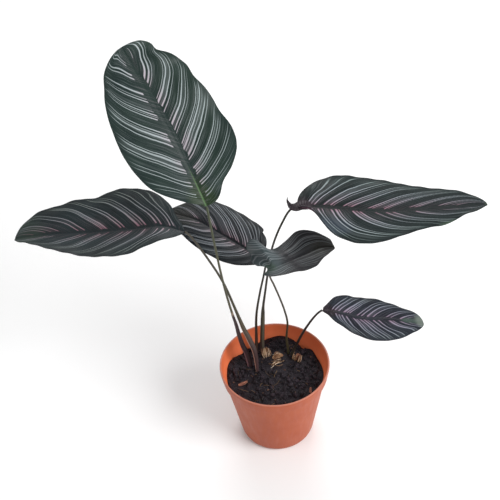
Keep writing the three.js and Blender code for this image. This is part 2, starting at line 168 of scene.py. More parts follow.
# Dry husks, bark chips and straws. The third number of a point is its height above the soil there.
SCRAPS = {
    "husk_1": {
        "midrib": [[-8, 26.5, 0.8], [-8, 27.3, 6], [-8.6, 28, 12.5]],
        "facing": [[0.3, -1, 0], [0.3, -1, 0.3]],
        "left": [2, 4, 4.2, 1.2], "right": [2, 4.2, 3.6, 1],
        "left_lift": [0.4, 1.2, 1.4, 0], "right_lift": [0.4, 1, 1.2, 0],
    },
    "husk_2": {
        "midrib": [[-1, 22.5, 2.1], [4.5, 24, 3.3], [10.5, 25, 2.1]],
        "facing": [[0, -0.3, 1], [0, -0.3, 1]],
        "left": [1, 3.2, 3, 0.8], "right": [1.5, 3.3, 3.2, 0.8],
        "left_lift": [0, -1.2, -1.2, 0], "right_lift": [0, -1.4, -1.2, 0],
    },
    "husk_3": {
        "midrib": [[25.5, 18, 0.8], [26.2, 18, 5.5], [28, 18.6, 11]],
        "facing": [[-0.5, -1, 0], [-0.4, -1, 0.3]],
        "left": [2, 3.4, 2.6, 0.8], "right": [2, 3.8, 3, 0.8],
        "left_lift": [0.3, 0.8, 0.8, 0], "right_lift": [0.3, 1.2, 1, 0],
    },
    "bark_chip_1": {
        "midrib": [[-41, -13, 1.6], [-36, -11, 1.6], [-31, -7.5, 1.7]],
        "facing": [[0, -0.1, 1], [0, -0.1, 1]],
        "left": [1, 1.8, 1.6, 0.8], "right": [0.8, 1.8, 1.8, 0.8],
    },
    "bark_chip_2": {
        "midrib": [[36.5, -30, 1.6], [36.8, -26.5, 1.7], [37.4, -22.5, 1.6]],
        "facing": [[0, 0, 1], [0, 0, 1]],
        "left": [0.8, 1.4, 1.3, 0.8], "right": [0.8, 1.3, 1.4, 0.8],
    },
}
STRAWS = {
    "straw_1": [[-6, 14, 1.1, 0.6], [-1, 11, 2.2, 0.6], [5, 9, 2, 0.6], [9, 11.5, 1.1, 0.6]],
    "straw_2": [[-3, 17, 1.1, 0.6], [3, 15, 2.4, 0.6], [8, 15.5, 2.2, 0.6], [11.5, 18, 1.1, 0.6]],
}
SCRAP_THICKNESS = 0.5
SCRAP_GRID = (14, 30)
STRAW_GRID = (40, 10)
STRAND_GRID = (10, 5)
# How many torn strands each husk has, and how far the longest reaches, as a share of the husk's length
HUSK_STRANDS = {"husk_1": (22, 1.25), "husk_2": (10, 0.9), "husk_3": (16, 1.2)}
STRAW_STRANDS = 7

# Pot and soil, in millimetres, as in the solids
POT_WALL_PROFILE = [
    [34, 0], [37.5, 0], [38.1, 0.1], [38.5, 0.4], [40.3, 2.4], [41.5, 6], [46.2, 32.8], [50.9, 59.6], [55.6, 86.4],
    [56.3, 86.7], [57.4, 87], [57.7, 87.15], [57.8, 87.5], [58.5, 92], [59.3, 96.8], [60, 101.2], [59.9, 101.7],
    [59.6, 102], [59, 102.05], [58.5, 102], [58.25, 101.85], [58.2, 101.6], [57.2, 95.2], [56.2, 88.8], [54, 86],
    [49.3, 59.3], [44.6, 32.7], [39.9, 6], [38.5, 2], [34, 2],
]
# How many of those points run up the outside, to the lip
POT_OUTER_POINTS = 16
POT_FLOOR_THICKNESS = 2
POT_FLOOR_RINGS = [34, 33, 31.4, 29.8, 28.2, 26.6, 25, 17, 9]
POT_SEGMENTS = 128
DRAIN_COUNT = 8
DRAIN_RADIUS = 4
DRAIN_CIRCLE = 29
# The faces that each drain hole replaces: between two radii of the floor, and within an angle of the hole
DRAIN_PATCH_RADII = (25, 33)
DRAIN_PATCH_ANGLE = math.radians(8.5)
SOIL_FOOT_PROFILE = [(0, 2.3), (38, 2.3), (39.5, 6)]
SOIL_CENTRE_HEIGHT = 84.5
SOIL_EDGE_DROP = 3
SOIL_TOP_RADIUS = 52.8
WALL_FLARE = 0.176
# The soil's mounds and hollows: x, y, rise and reach
SOIL_MOUNDS = [
    [11, 50, 6.5, 17], [34, 40, -4, 7], [43, 31, 3.5, 7], [-31, 42, -4.5, 12], [-50, 18, 4.5, 13], [52, -5, 2.5, 12],
]
# Rings and segments of the soil's top
SOIL_GRID = (54, 160)
# Crumbs with a radius above this stay clear of the scraps, and twice as large ones get finer faces.
LARGE_CRUMB = 0.8
SCRAP_CLEARANCE = 4.5
BARK_BITS = 70
PERLITE_GRAINS = 9
ROOT_FIBRES = 26

# How each blade is marked.
# left_run and right_run say how far towards the tip a stripe has run at a third of the way to the margin, at
# two thirds, and at the margin, in millimetres. Their rows are six even steps from the blade's base to its tip.
# left and right list the stripes: where each leaves the midrib, and its width there, in millimetres.
# Washes are broad, faint, brushed stripes, with their strength as a third number.
# midrib_shift moves the visible groove and the stripes' starts off the solids' midrib, from base to tip.
# begin is how far from the midrib the lines start, strength is how strong they are, and hairs is the strength of
# the fine hairlines between them. fading makes them fainter at one end: two places along the blade, and the
# share of their strength that they have at each.
# The blade's own colour runs from shade to ground.
# A patch is a soft oval of another colour: along, across, its two half lengths, colour, and strength.
# lines runs from the colour at a stripe's start to its colour near the margin.
MARKINGS = {
    "leaf_1": {
        "left_run": [[0, 0, 0], [9, 21, 28], [18, 33, 49], [19, 41, 65], [17, 37, 69], [18, 20, 27]],
        "right_run": [[0, 0, 0], [7, 17, 28], [15, 28, 43], [12, 29, 49], [14, 29, 54], [24, 35, 40]],
        "left": [
            (8.5, 0.9), (11.5, 1.2), (20.1, 1.5), (23.7, 1.3), (33.1, 1.2), (35.8, 1.9), (41.2, 2.8), (43.9, 1.2),
            (58.3, 1.9), (64.3, 2.8), (67.5, 0.9), (70.8, 1.7), (86.1, 1.5), (89, 0.8), (91.6, 1.5), (95, 0.8),
            (106.2, 1.5), (109.5, 0.9), (115.4, 2.5), (131.6, 1.5), (135.7, 2.1), (145, 1.1), (148, 0.9), (152, 0.9)],
        "right": [
            (8.7, 0.9), (12, 1), (21.1, 1.2), (23.7, 1.2), (31.6, 1.1), (33.8, 1.3), (36.3, 0.9), (38.3, 1.5),
            (47.8, 1.3), (51.8, 2.7), (56, 0.9), (59.5, 2.5), (62, 0.9), (64.2, 1.3), (75, 0.9), (78.6, 1.3),
            (84.3, 2.5), (88.5, 0.9), (98.8, 1.1), (103.3, 1.7), (109.3, 2.7), (112.5, 0.9), (125.2, 0.9),
            (128.9, 2.3), (134.1, 2.8), (150, 1.1), (155, 1.1)],
        "left_washes": [(64.5, 9, 0.25), (38.5, 9, 0.22), (27, 5, 0.12), (98, 7, 0.12)],
        "right_washes": [(81, 7, 0.15), (55.5, 8, 0.22), (35, 6, 0.19), (106, 8, 0.19)],
        "midrib_shift": [0, -0.6, -2, -3.4, -3.2, -2, -0.4, 0], "hairs": 0.22, "begin": 4,
        "ground": "#24342f", "shade": "#182626", "strength": 0.95, "fading": (50, 95, 0.78, 1.0),
        "lines": [(0.1, "#bcb3bb"), (0.3, "#aeb6b9"), (0.9, "#97a3a3")],
        "patches": [
            (4, 0, 30, 16, "#25351f", 0.9), (8, 0, 32, 1.0, "#4b6840", 0.85), (100, 30, 110, 24, "#182b20", 0.4)],
    },
    "leaf_2": {
        "left_run": [[0, 0, 0], [6, 20, 30], [16, 30, 49], [19, 33, 62], [25, 37, 62], [30, 44, 53]],
        "right_run": [[0, 0, 0], [12, 26, 32], [20, 41, 63], [23, 45, 74], [30, 55, 80], [42, 64, 81]],
        "left": [
            (14, 1.1), (19.9, 1.7), (25.9, 1.5), (39, 1.4), (53.8, 1.5), (57, 1), (62.4, 1.4), (79, 1.1), (85, 1.7),
            (88, 1), (104, 1.1), (109.6, 1.5), (135, 1.4), (142.8, 1.6), (160, 1.1)],
        "right": [
            (9.8, 1.3), (13.7, 1.6), (22.6, 1.6), (26.9, 2), (39, 1.6), (42.5, 1), (46.9, 2.7), (62, 1.6),
            (66.1, 2), (81.9, 2.7), (84.6, 1.1), (86.9, 1.7), (105.9, 1.7), (113.3, 1.8), (134.8, 1.6), (143, 1.1),
            (149.7, 1.5), (166, 1.1)],
        "left_washes": [(38, 9, 0.25), (82, 8, 0.22), (106, 7, 0.22), (58, 7, 0.15)],
        "right_washes": [(44, 7, 0.15), (84, 6, 0.19), (139, 8, 0.19), (109, 6, 0.12)],
        "hairs": 0.22, "begin": 2.2, "ground": "#1e2b2e", "shade": "#12181b", "strength": 0.97,
        "lines": [(0.05, "#875f6c"), (0.18, "#93848b"), (0.45, "#8d9096"), (0.9, "#7d8781")],
        "patches": [(184, 0, 30, 26, "#35443a", 0.5)],
    },
    "leaf_3": {
        "left_run": [[0, 0, 0], [4, 12, 20], [8, 21, 36], [11, 29, 45], [21, 36, 44], [20, 33, 39]],
        "right_run": [[0, 0, 0], [7, 15, 20], [15, 27, 40], [17, 37, 52], [17, 37, 52], [13, 26, 41]],
        "left": [
            (15.9, 1.2), (18.5, 0.8), (21.7, 1.4), (32.9, 1.6), (35, 0.9), (37.5, 1.4), (43.4, 1.5), (46, 0.9),
            (60, 1.3), (62.5, 1.3), (78, 1.3), (81, 1), (96, 1)],
        "right": [
            (6, 0.9), (8.4, 1.2), (11, 0.9), (14.4, 1.3), (19.5, 1.4), (22.3, 1.4), (25, 0.9), (30.5, 1.4),
            (33.1, 1.4), (36.5, 0.9), (39.9, 1.6), (58.3, 1.5), (61, 1.5), (81.4, 1.4), (84, 1.2)],
        "left_washes": [(24, 6, 0.22), (35, 6, 0.22), (61, 6, 0.22)],
        "right_washes": [(17, 5, 0.19), (42, 6, 0.25), (49, 6, 0.19), (59, 6, 0.22)],
        "hairs": 0.25, "begin": 2, "ground": "#0c171c", "shade": "#070c12", "strength": 0.93,
        "lines": [(0.05, "#92727e"), (0.18, "#989198"), (0.5, "#959ba2"), (0.9, "#889195")],
        "patches": [(120, 0, 40, 30, "#25271f", 0.5)],
    },
    "leaf_4": {
        "left": [
            (7.4, 0.9), (8.6, 0.8), (10.8, 0.9), (13.4, 0.9), (14.6, 0.9), (18.6, 0.9), (20.8, 0.8), (22.6, 0.8),
            (24.6, 0.9), (26.2, 0.8)],
        "right": [(2, 0.8), (7.2, 1.1), (11, 0.8), (14.6, 1.1), (18.4, 0.9), (22, 0.8)],
        "left_washes": [(12, 4, 0.22), (19.5, 4, 0.19), (26, 4, 0.15), (4, 4, 0.12)],
        "right_washes": [(6, 4, 0.19), (14, 5, 0.19)],
        "hairs": 0.3, "begin": -1, "ground": "#1e2023", "shade": "#141417", "strength": 0.85,
        "fading": (22, 40, 1.0, 0.55),
        "lines": [(0.1, "#7c8486"), (0.9, "#636569")],
        # The second patch darkens the crease across the blade: painted shade.
        "patches": [
            (10, -12, 20, 26, "#3a4547", 0.85), (26, 0, 12, 22, "#201f22", 0.7), (76, 0, 26, 16, "#1d1e16", 0.7),
            (2, 0, 9, 8, "#34443a", 0.8)],
    },
    "leaf_5": {
        "left_run": [[0, 0, 0], [17, 29, 34], [30, 52, 67], [34, 63, 90], [34, 68, 103], [44, 70, 94]],
        "right_run": [[0, 0, 0], [3, 11, 26], [16, 35, 59], [18, 42, 72], [27, 53, 71], [23, 41, 57]],
        "left": [
            (8.6, 1.4), (12.2, 0.9), (15.9, 1.4), (24.9, 1.6), (31.9, 1.8), (35, 0.9), (45.5, 1.7), (49, 0.9),
            (53.3, 1.8), (71.7, 2), (75.5, 1.4), (84.5, 1.1), (88.3, 2.4), (92, 0.9), (113.2, 1.8), (119, 2.2),
            (123, 0.9), (144.3, 2.6), (150, 1.2), (158, 1), (165, 1.6), (172, 1.2), (179, 1.5), (187, 1.2)],
        "right": [
            (14, 1.1), (20.5, 1.8), (24.5, 1.1), (34.1, 2.2), (38.9, 2.2), (42, 1.2), (55.9, 2.2), (60, 1.1),
            (63.9, 2.2), (80, 1.2), (91.1, 2.1), (98.7, 2.1), (121.4, 2.7), (148, 2), (155, 1.5),
            (162, 1.4), (170, 1.2), (182, 1.2)],
        "left_washes": [(28, 8, 0.25), (50, 8, 0.22), (80, 9, 0.19), (116, 7, 0.19), (12, 6, 0.19)],
        "right_washes": [(30, 6, 0.19), (60, 8, 0.25), (95, 7, 0.22), (126, 8, 0.22), (80, 5, 0.15)],
        "hairs": 0.2, "begin": 2.4, "ground": "#0f1e1e", "shade": "#081012", "strength": 0.88,
        "lines": [(0.05, "#946a7a"), (0.18, "#988c97"), (0.45, "#92989f"), (0.9, "#7f8d8b")],
        "patches": [
            (4, 3, 18, 17, "#1a1017", 0.97), (30, 26, 24, 12, "#333c4a", 0.5), (178, 22, 30, 6, "#4f6b4e", 0.6),
            (213, 0, 9, 7, "#4a6148", 0.6)],
    },
    "leaf_6": {
        "left_run": [[0, 0, 0], [7, 14, 19], [11, 22, 34], [13, 27, 43], [12, 26, 43], [11, 21, 34]],
        "right_run": [[0, 0, 0], [2, 6, 19], [8, 14, 25], [7, 18, 28], [12, 25, 30], [13, 24, 29]],
        "left": [
            (8.9, 1.4), (12.1, 1.4), (15.9, 1.6), (22.3, 2.7), (25.4, 1.3), (27.9, 1.5), (37.6, 1.6), (42.3, 1.8),
            (49.3, 2.8), (56.5, 1.9), (71.4, 1.6), (77.1, 1.5), (88.8, 2.7), (95, 1.1)],
        "right": [
            (13.7, 1.6), (17, 1.1), (20.3, 1.8), (25.7, 1.9), (33.5, 2.5), (36.5, 1.2), (41.6, 2.5), (46.4, 2),
            (50, 1.2), (56.8, 2.2), (63, 2), (75.9, 3.2), (80, 1.5), (88.1, 2.5), (96, 1.2)],
        "left_washes": [(24, 7, 0.25), (52, 7, 0.22), (13, 6, 0.19), (74, 6, 0.19)],
        "right_washes": [(17, 7, 0.22), (37, 8, 0.25), (48, 6, 0.22), (78, 7, 0.22)],
        "hairs": 0.2, "begin": 1.8, "ground": "#1b222b", "shade": "#11131c", "strength": 0.85,
        "lines": [(0.05, "#8d7388"), (0.25, "#8f8797"), (0.6, "#868a97"), (0.9, "#7b8386")],
        "patches": [
            (4, 0, 14, 10, "#190f16", 0.95), (117, 0, 9, 11, "#6f7a70", 0.7), (104, 0, 12, 4, "#3e5048", 0.7)],
    },
}
# How leaf 4's stripes spread: they arc round the foot of the blade and fan out to its tip. Each row holds, at
# even steps from base to tip, the share of the margin's distance that stands for a whole fan, and its bend.
FAN = {
    "left": (
        [0.43, 0.48, 0.54, 0.95, 1, 0.91, 0.78, 0.69, 0.64, 0.6, 0.6], [0.8, 0.6, 0.5, 1, 1, 1, 1, 1, 1, 1, 1]),
    "right": ([0.4, 0.45, 0.5, 0.65, 1.05, 0.92, 0.7, 0.5, 0.45, 0.4, 0.4], [1] * 11),
}
FAN_WIDTH = 30
# How far the right half's stripes are set off from the left half's in the map, in millimetres
RIGHT_HALF = 400
# How far the stripes waver and how ragged their edges are, in millimetres, the width that counts as bold, and how
# closely streaks and hairlines follow each other. The second set is for leaf 4's small fan.
PAINT = {"waver": 1.4, "ragged": 0.3, "bold": 2, "streaks": 1.1, "hairs": 2.0}
FAN_PAINT = {"waver": 0.6, "ragged": 0.1, "bold": 1, "streaks": 3.0, "hairs": 3.0}

# Colour of each stalk, from its foot up: height above the pot's underside in millimetres, and colour
STALK_COLOURS = {
    "leaf_1": [(84, "#2a1b26"), (120, "#2c1d26"), (160, "#30242a"), (164, "#8f7c6a"), (168, "#4a4836"),
               (205, "#3d3d2c"), (240, "#40412e"), (311, "#37412b")],
    "leaf_2": [(84, "#432c33"), (115, "#3d3032"), (140, "#453b2e"), (165, "#3d3a2a"), (205, "#38362a"),
               (276, "#35322a")],
    "leaf_3": [(84, "#3f2c26"), (112, "#452f27"), (130, "#2f261f"), (150, "#231f1a"), (185, "#1f1e1a"),
               (228, "#2b2823")],
    "leaf_4": [(84, "#3a3824"), (112, "#45402b"), (150, "#302d20"), (244, "#38342a")],
    "leaf_5": [(84, "#473436"), (105, "#423a34"), (126, "#38352a"), (150, "#292820"), (165, "#211f1a"),
               (200, "#1e1d19"), (293, "#24231d")],
    "leaf_6": [(84, "#33342a"), (100, "#2a2522"), (110, "#201a1c"), (171, "#221a1c")],
}
# The pale free margin of a sheath: its turn round the stalk from 0 to 1, the height where it ends, and its colour
SHEATH_MARGINS = {
    "leaf_1": (0.62, 112, "#7d6a72"), "leaf_2": (0.58, 150, "#d8b8a6"), "leaf_5": (0.80, 150, "#5c5a4c"),
}

# The camera's tilt and roll, its distance from what it aims at in metres, and that point in millimetres
CAMERA_TILT = math.radians(42)
CAMERA_ROLL = math.radians(-4)
CAMERA_DISTANCE = 1.005
CAMERA_AIM = (-18, 20, 252)
# Each lamp's place and diameter in metres, and its power in watts
LAMPS = {
    "key": ((1.4, -0.9, 1.4), 1.4, 40), "fill": ((-1.5, -0.6, 1.6), 1.4, 5), "back": ((0.1, 1.6, 1.6), 1.6, 22),
}


# Shared helpers
def linear(colour):
    """An sRGB hex colour as the linear colour that the shaders take."""
    parts = [int(colour[i:i + 2], 16) / 255 for i in (1, 3, 5)]
    return [c / 12.92 if c <= 0.04045 else ((c + 0.055) / 1.055) ** 2.4 for c in parts] + [1.0]


def link(tree, source, socket):
    """Joins a socket, or a node's first output, to an input."""
    tree.links.new(source.outputs[0] if isinstance(source, bpy.types.Node) else source, socket)


def node(tree, kind, settings=None, inputs=None):
    """Adds one node. inputs holds a value, a node or a socket for each input's name or number.
    Two settings stand for several: stops for a ramp's places and colours, span for a range's From and To."""
    made = tree.nodes.new("ShaderNode" + kind)
    inputs = dict(inputs or {})
    for key, value in (settings or {}).items():
        if key == "stops":
            ramp = made.color_ramp.elements
            while len(ramp) < len(value):
                ramp.new(0.5)
            for element, (place, colour) in zip(ramp, value):
                element.position = place
                element.color = linear(colour) if isinstance(colour, str) else colour
        elif key == "span":
            inputs.update(zip(("From Min", "From Max", "To Min", "To Max"), value))
        else:
            setattr(made, key, value)
    for key, value in inputs.items():
        if isinstance(value, (bpy.types.Node, bpy.types.NodeSocket)):
            link(tree, value, made.inputs[key])
        else:
            made.inputs[key].default_value = value
    return made


def new_material(name, roughness, specular):
    """A material with only its surface shader and output. Returns it, its node tree and the shader."""
    material = bpy.data.materials.new(name)
    material.use_nodes = True
    tree = material.node_tree
    tree.nodes.clear()
    surface = node(tree, "BsdfPrincipled", inputs={"Roughness": roughness, "Specular IOR Level": specular})
    node(tree, "OutputMaterial", inputs={0: surface})
    return material, tree, surface


def dress(tree, surface, colour, height, strength, depth, roughness=None):
    """Gives the surface its colour, a bump that follows a height, and a roughness if that varies."""
    bump = node(tree, "Bump", inputs={"Strength": strength, "Distance": depth * MM, "Height": height})
    link(tree, colour, surface.inputs["Base Color"])
    link(tree, bump, surface.inputs["Normal"])
    if roughness:
        link(tree, roughness, surface.inputs["Roughness"])


def finish_piece(name, work, materials, replaced, smooth=True):
    """Turns a bmesh into an object that rides on the plant and stands for the solids it replaces."""
    for face in work.faces:
        face.smooth = smooth
        # A sheet with one material wears it on both faces.
        face.material_index = min(face.material_index, len(materials) - 1)
    mesh = bpy.data.meshes.new(name)
    work.to_mesh(mesh)
    work.free()
    for material in materials:
        mesh.materials.append(material)
    piece = bpy.data.objects.new(name, mesh)
    bpy.context.scene.collection.objects.link(piece)
    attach(piece, "root")
    if replaced:
        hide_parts(*replaced)


# The leaf surface
def along_list(values, place):
    """Smooth curve through a list of numbers or points, at places from 0 to 1."""
    values = np.asarray(values, float)
    last = len(values) - 1
    x = np.clip(np.asarray(place, float), 0, 1) * last
    i = np.minimum(x.astype(int), last - 1)
    f = (x - i).reshape(x.shape + (1,) * (values.ndim - 1))
    padded = np.concatenate([[2 * values[0] - values[1]], values, [2 * values[-1] - values[-2]]])
    return between_points(*(padded[i + k] for k in range(4)), f)


def between_points(a, b, c, d, f):
    """A smooth value at the share f of the way from b to c, with their neighbours a and d."""
    return 0.5 * (2 * b + (c - a) * f + (2 * a - 5 * b + 4 * c - d) * f ** 2 + (3 * b - a - 3 * c + d) * f ** 3)


def unit(vectors):
    return vectors / np.linalg.norm(vectors, axis=-1, keepdims=True)


def midrib_frame(leaf, u):
    """The midrib's point, direction, upward normal and sideways direction at u, from 0 at base to 1 at tip."""
    a = (1 - np.cos(np.pi * u)) / 2
    point = along_list(leaf["midrib"], a)
    ahead = unit(along_list(leaf["midrib"], np.minimum(a + 0.001, 1))
                 - along_list(leaf["midrib"], np.maximum(a - 0.001, 0)))
    up = along_list(leaf["facing"], a)
    up = unit(up - ahead * np.sum(up * ahead, axis=-1, keepdims=True))
    return point, ahead, up, np.cross(ahead, up)


def one_side(leaf, what, u, t):
    """A value that the leaf's two halves list apart, for each point's own half."""
    left, right = (along_list(leaf.get(side + what, [0, 0]), u) for side in ("left", "right"))
    return np.where(t < 0, left, right)


def blade_points(leaf, u, t):
    """Points of the blade's upper face, in millimetres. t is -1 at the left margin and 1 at the right."""
    point, ahead, up, across = midrib_frame(leaf, u)
    reach = np.abs(t)
    width = one_side(leaf, "", u, t)
    height = one_side(leaf, "_lift", u, t) * reach ** 2 + leaf.get("arch", ARCH) * width * 4 * reach * (1 - reach)
    sweep = one_side(leaf, "_sweep", u, t) * width * reach ** 2
    return point + across * (width * t)[:, None] + up * height[:, None] + ahead * sweep[:, None]


def blade_normals(leaf, u, t):
    lengthwise = blade_points(leaf, np.minimum(u + 0.004, 1), t) - blade_points(leaf, np.maximum(u - 0.004, 0), t)
    crosswise = blade_points(leaf, u, np.minimum(t + 0.02, 1)) - blade_points(leaf, u, np.maximum(t - 0.02, -1))
    return unit(np.cross(crosswise, lengthwise))


def midrib_lengths(leaf, u):
    """How far along the midrib each u lies, in millimetres."""
    fine = np.linspace(0, 1, 400)
    points = along_list(leaf["midrib"], (1 - np.cos(np.pi * fine)) / 2)
    steps = np.concatenate([[0], np.cumsum(np.linalg.norm(np.diff(points, axis=0), axis=1))])
    return np.interp(u, fine, steps)


def stripe_start(name, u, t):
    """Where the stripe through each point leaves the midrib, in millimetres from the blade's base."""
    leaf, marks = LEAVES[name], MARKINGS[name]
    reach = np.abs(t)
    if name == "leaf_4":
        share, bend = (
            np.where(t < 0, along_list(FAN["left"][i], u), along_list(FAN["right"][i], u)) for i in (0, 1))
        return FAN_WIDTH * share * np.maximum(reach, 1e-4) ** bend
    length = midrib_lengths(leaf, u)
    left, right = (along_list(marks[side + "_run"], length / length.max()) for side in ("left", "right"))
    rows = np.where((t < 0)[:, None], left, right)
    place = np.clip(reach, 0, 1) * 3
    i = np.minimum(place.astype(int), 2)
    padded = np.concatenate([-rows[:, :1], 0 * rows[:, :1], rows, 2 * rows[:, 2:] - rows[:, 1:2]], axis=1)
    return length - between_points(*(padded[np.arange(len(i)), i + k] for k in range(4)), place - i)


def thin_sheet(leaf, grid, thickness, rib_depth, ripple):
    """A closed thin sheet over the leaf surface, its underside on the second material.
    ripple gives how far each point stands out of it."""
    columns, rows = grid
    work = bmesh.new()
    bmesh.ops.create_grid(work, x_segments=columns, y_segments=rows, size=1)
    underside = list(work.faces)
    made = bmesh.ops.extrude_face_region(work, geom=underside, use_keep_orig=True)
    upper = {v for v in made["geom"] if isinstance(v, bmesh.types.BMVert)}
    corners = list(work.verts)
    flat = np.array([v.co[:2] for v in corners])
    # Columns stand closer together towards the midrib.
    t = flat[:, 0] * (0.4 + 0.6 * np.abs(flat[:, 0]))
    u = (flat[:, 1] + 1) / 2
    is_upper = np.array([v in upper for v in corners])
    aside = np.abs(t) * one_side(leaf, "", u, t)
    rib = rib_depth * (1 - 0.8 * u) * np.clip(1 - aside / RIB_HALF_WIDTH, 0, 1) ** 0.7
    offset = ripple(u, t) - np.where(is_upper, 0, thickness + rib)
    points = blade_points(leaf, u, t) + blade_normals(leaf, u, t) * offset[:, None]
    for vert, point in zip(corners, points):
        vert.co = Vector(point) * MM
    underside = set(underside)
    for face in work.faces:
        face.material_index = 1 if face in underside else 0
        if len({v in upper for v in face.verts}) == 2:
            # The rim between the two faces has sharp edges.
            for edge in face.edges:
                if (edge.verts[0] in upper) == (edge.verts[1] in upper):
                    edge.smooth = False
    bmesh.ops.recalc_face_normals(work, faces=work.faces)
    work.verts.index_update()
    return work, u, t


def lay_uv(work, name, values_left, values_right, t):
    """Fills a UV map from two values for each vertex, taking the left or the right half's own."""
    layer = work.loops.layers.uv.new(name)
    for face in work.faces:
        values = values_left if sum(t[v.index] for v in face.verts) < 0 else values_right
        for loop in face.loops:
            loop[layer].uv = values[loop.vert.index]


def shape_blade(name):
    """One leaf blade: soft furrows along its veins, a wavy margin and a groove over the midrib."""
    leaf = LEAVES[name]
    draw = random.Random(SEED + int(name[-1]))
    turns = [draw.uniform(0, 6.28) for _ in range(3)]
    shift = MARKINGS[name].get("midrib_shift", [0, 0])

    def ripple(u, t):
        reach = np.abs(t)
        between = np.sin(np.pi * np.clip(reach * 1.05, 0, 1)) ** 0.8
        furrows = FURROW_DEPTH * np.sin(2 * np.pi * stripe_start(name, u, t) / FURROW_SPACING) * between
        side = np.where(t < 0, turns[0], turns[1])
        length = midrib_lengths(leaf, u)
        margin = MARGIN_WAVE * np.sin(length / 4.3 + side) * np.sin(length / 11 + turns[2]) * reach ** 5
        aside = t * one_side(leaf, "", u, t) - along_list(shift, u)
        groove = -GROOVE_DEPTH * np.exp(-(aside / GROOVE_WIDTH) ** 2)
        return (furrows + margin + groove) * np.sin(np.pi * u) ** 0.5

    work, u, t = thin_sheet(leaf, BLADE_GRID, BLADE_THICKNESS, MIDRIB_DEPTH, ripple)
    reach = np.abs(t)
    if name == "leaf_4":
        # No stripes show along the crease that crosses this blade.
        middle, width = CREASE
        reach = np.maximum(0.35 + 0.65 * reach ** 6, np.exp(-((u - middle) / width) ** 2))
    left = np.stack([stripe_start(name, u, np.minimum(t, -1e-6)), reach], axis=1)
    right = np.stack([stripe_start(name, u, np.maximum(t, 1e-6)) + RIGHT_HALF, reach], axis=1)
    lay_uv(work, "stripes", left, right, t)
    place = np.stack([midrib_lengths(leaf, u), t * one_side(leaf, "", u, t) - along_list(shift, u)], axis=1)
    lay_uv(work, "place", place, place, t)
    # The ripples stay inside the solid's box.
    low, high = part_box(name + "_blade")
    for vert in work.verts:
        vert.co = [min(max(c, a), b) for c, a, b in zip(vert.co, low, high)]
    return work


def shape_fold():
    """The folded foot of leaf 5's blade. Its map starts aside, so that no pale midrib is drawn on it."""
    def ripple(u, t):
        return 0.3 * np.sin(5 * t + 9 * u) * np.sin(np.pi * u)

    work, u, t = thin_sheet(FOLD, FOLD_GRID, FOLD_THICKNESS, 0, ripple)
    place = np.stack([midrib_lengths(FOLD, u), FOLD_MAP_START + t * one_side(FOLD, "", u, t)], axis=1)
    for layer in ("stripes", "place"):
        lay_uv(work, layer, place, place, t)
    return work


def painted_stripes(tree, where, narrowing, stripes):
    """How strongly a point is painted, from where its stripe starts. A vector handles three stripes at a time:
    a range's vector sockets are 6 for the vector, 7 and 8 for From, and 9 and 10 for To."""
    strongest = None
    for i in range(0, len(stripes), 3):
        three = (stripes[i:i + 3] * 3)[:3]
        off = node(tree, "VectorMath", {"operation": "ABSOLUTE"}, {
            0: node(tree, "VectorMath", {"operation": "SUBTRACT"}, {0: where, 1: [s[0] for s in three]})})
        scaled = node(tree, "VectorMath", {"operation": "SCALE"}, {0: off, "Scale": narrowing})
        shown = node(tree, "MapRange", {"data_type": "FLOAT_VECTOR", "interpolation_type": "SMOOTHSTEP"}, {
            6: scaled, 7: [s[1] * 0.6 for s in three], 8: [s[1] * 0.25 for s in three], 9: (0, 0, 0),
            10: [s[2] for s in three]}).outputs[1]
        strongest = shown if strongest is None else node(
            tree, "VectorMath", {"operation": "MAXIMUM"}, {0: strongest, 1: shown}).outputs[0]
    parts = node(tree, "SeparateXYZ", inputs={0: strongest})
    pair = node(tree, "Math", {"operation": "MAXIMUM"}, {0: parts.outputs[0], 1: parts.outputs[1]})
    return node(tree, "Math", {"operation": "MAXIMUM"}, {0: pair, 1: parts.outputs[2]})


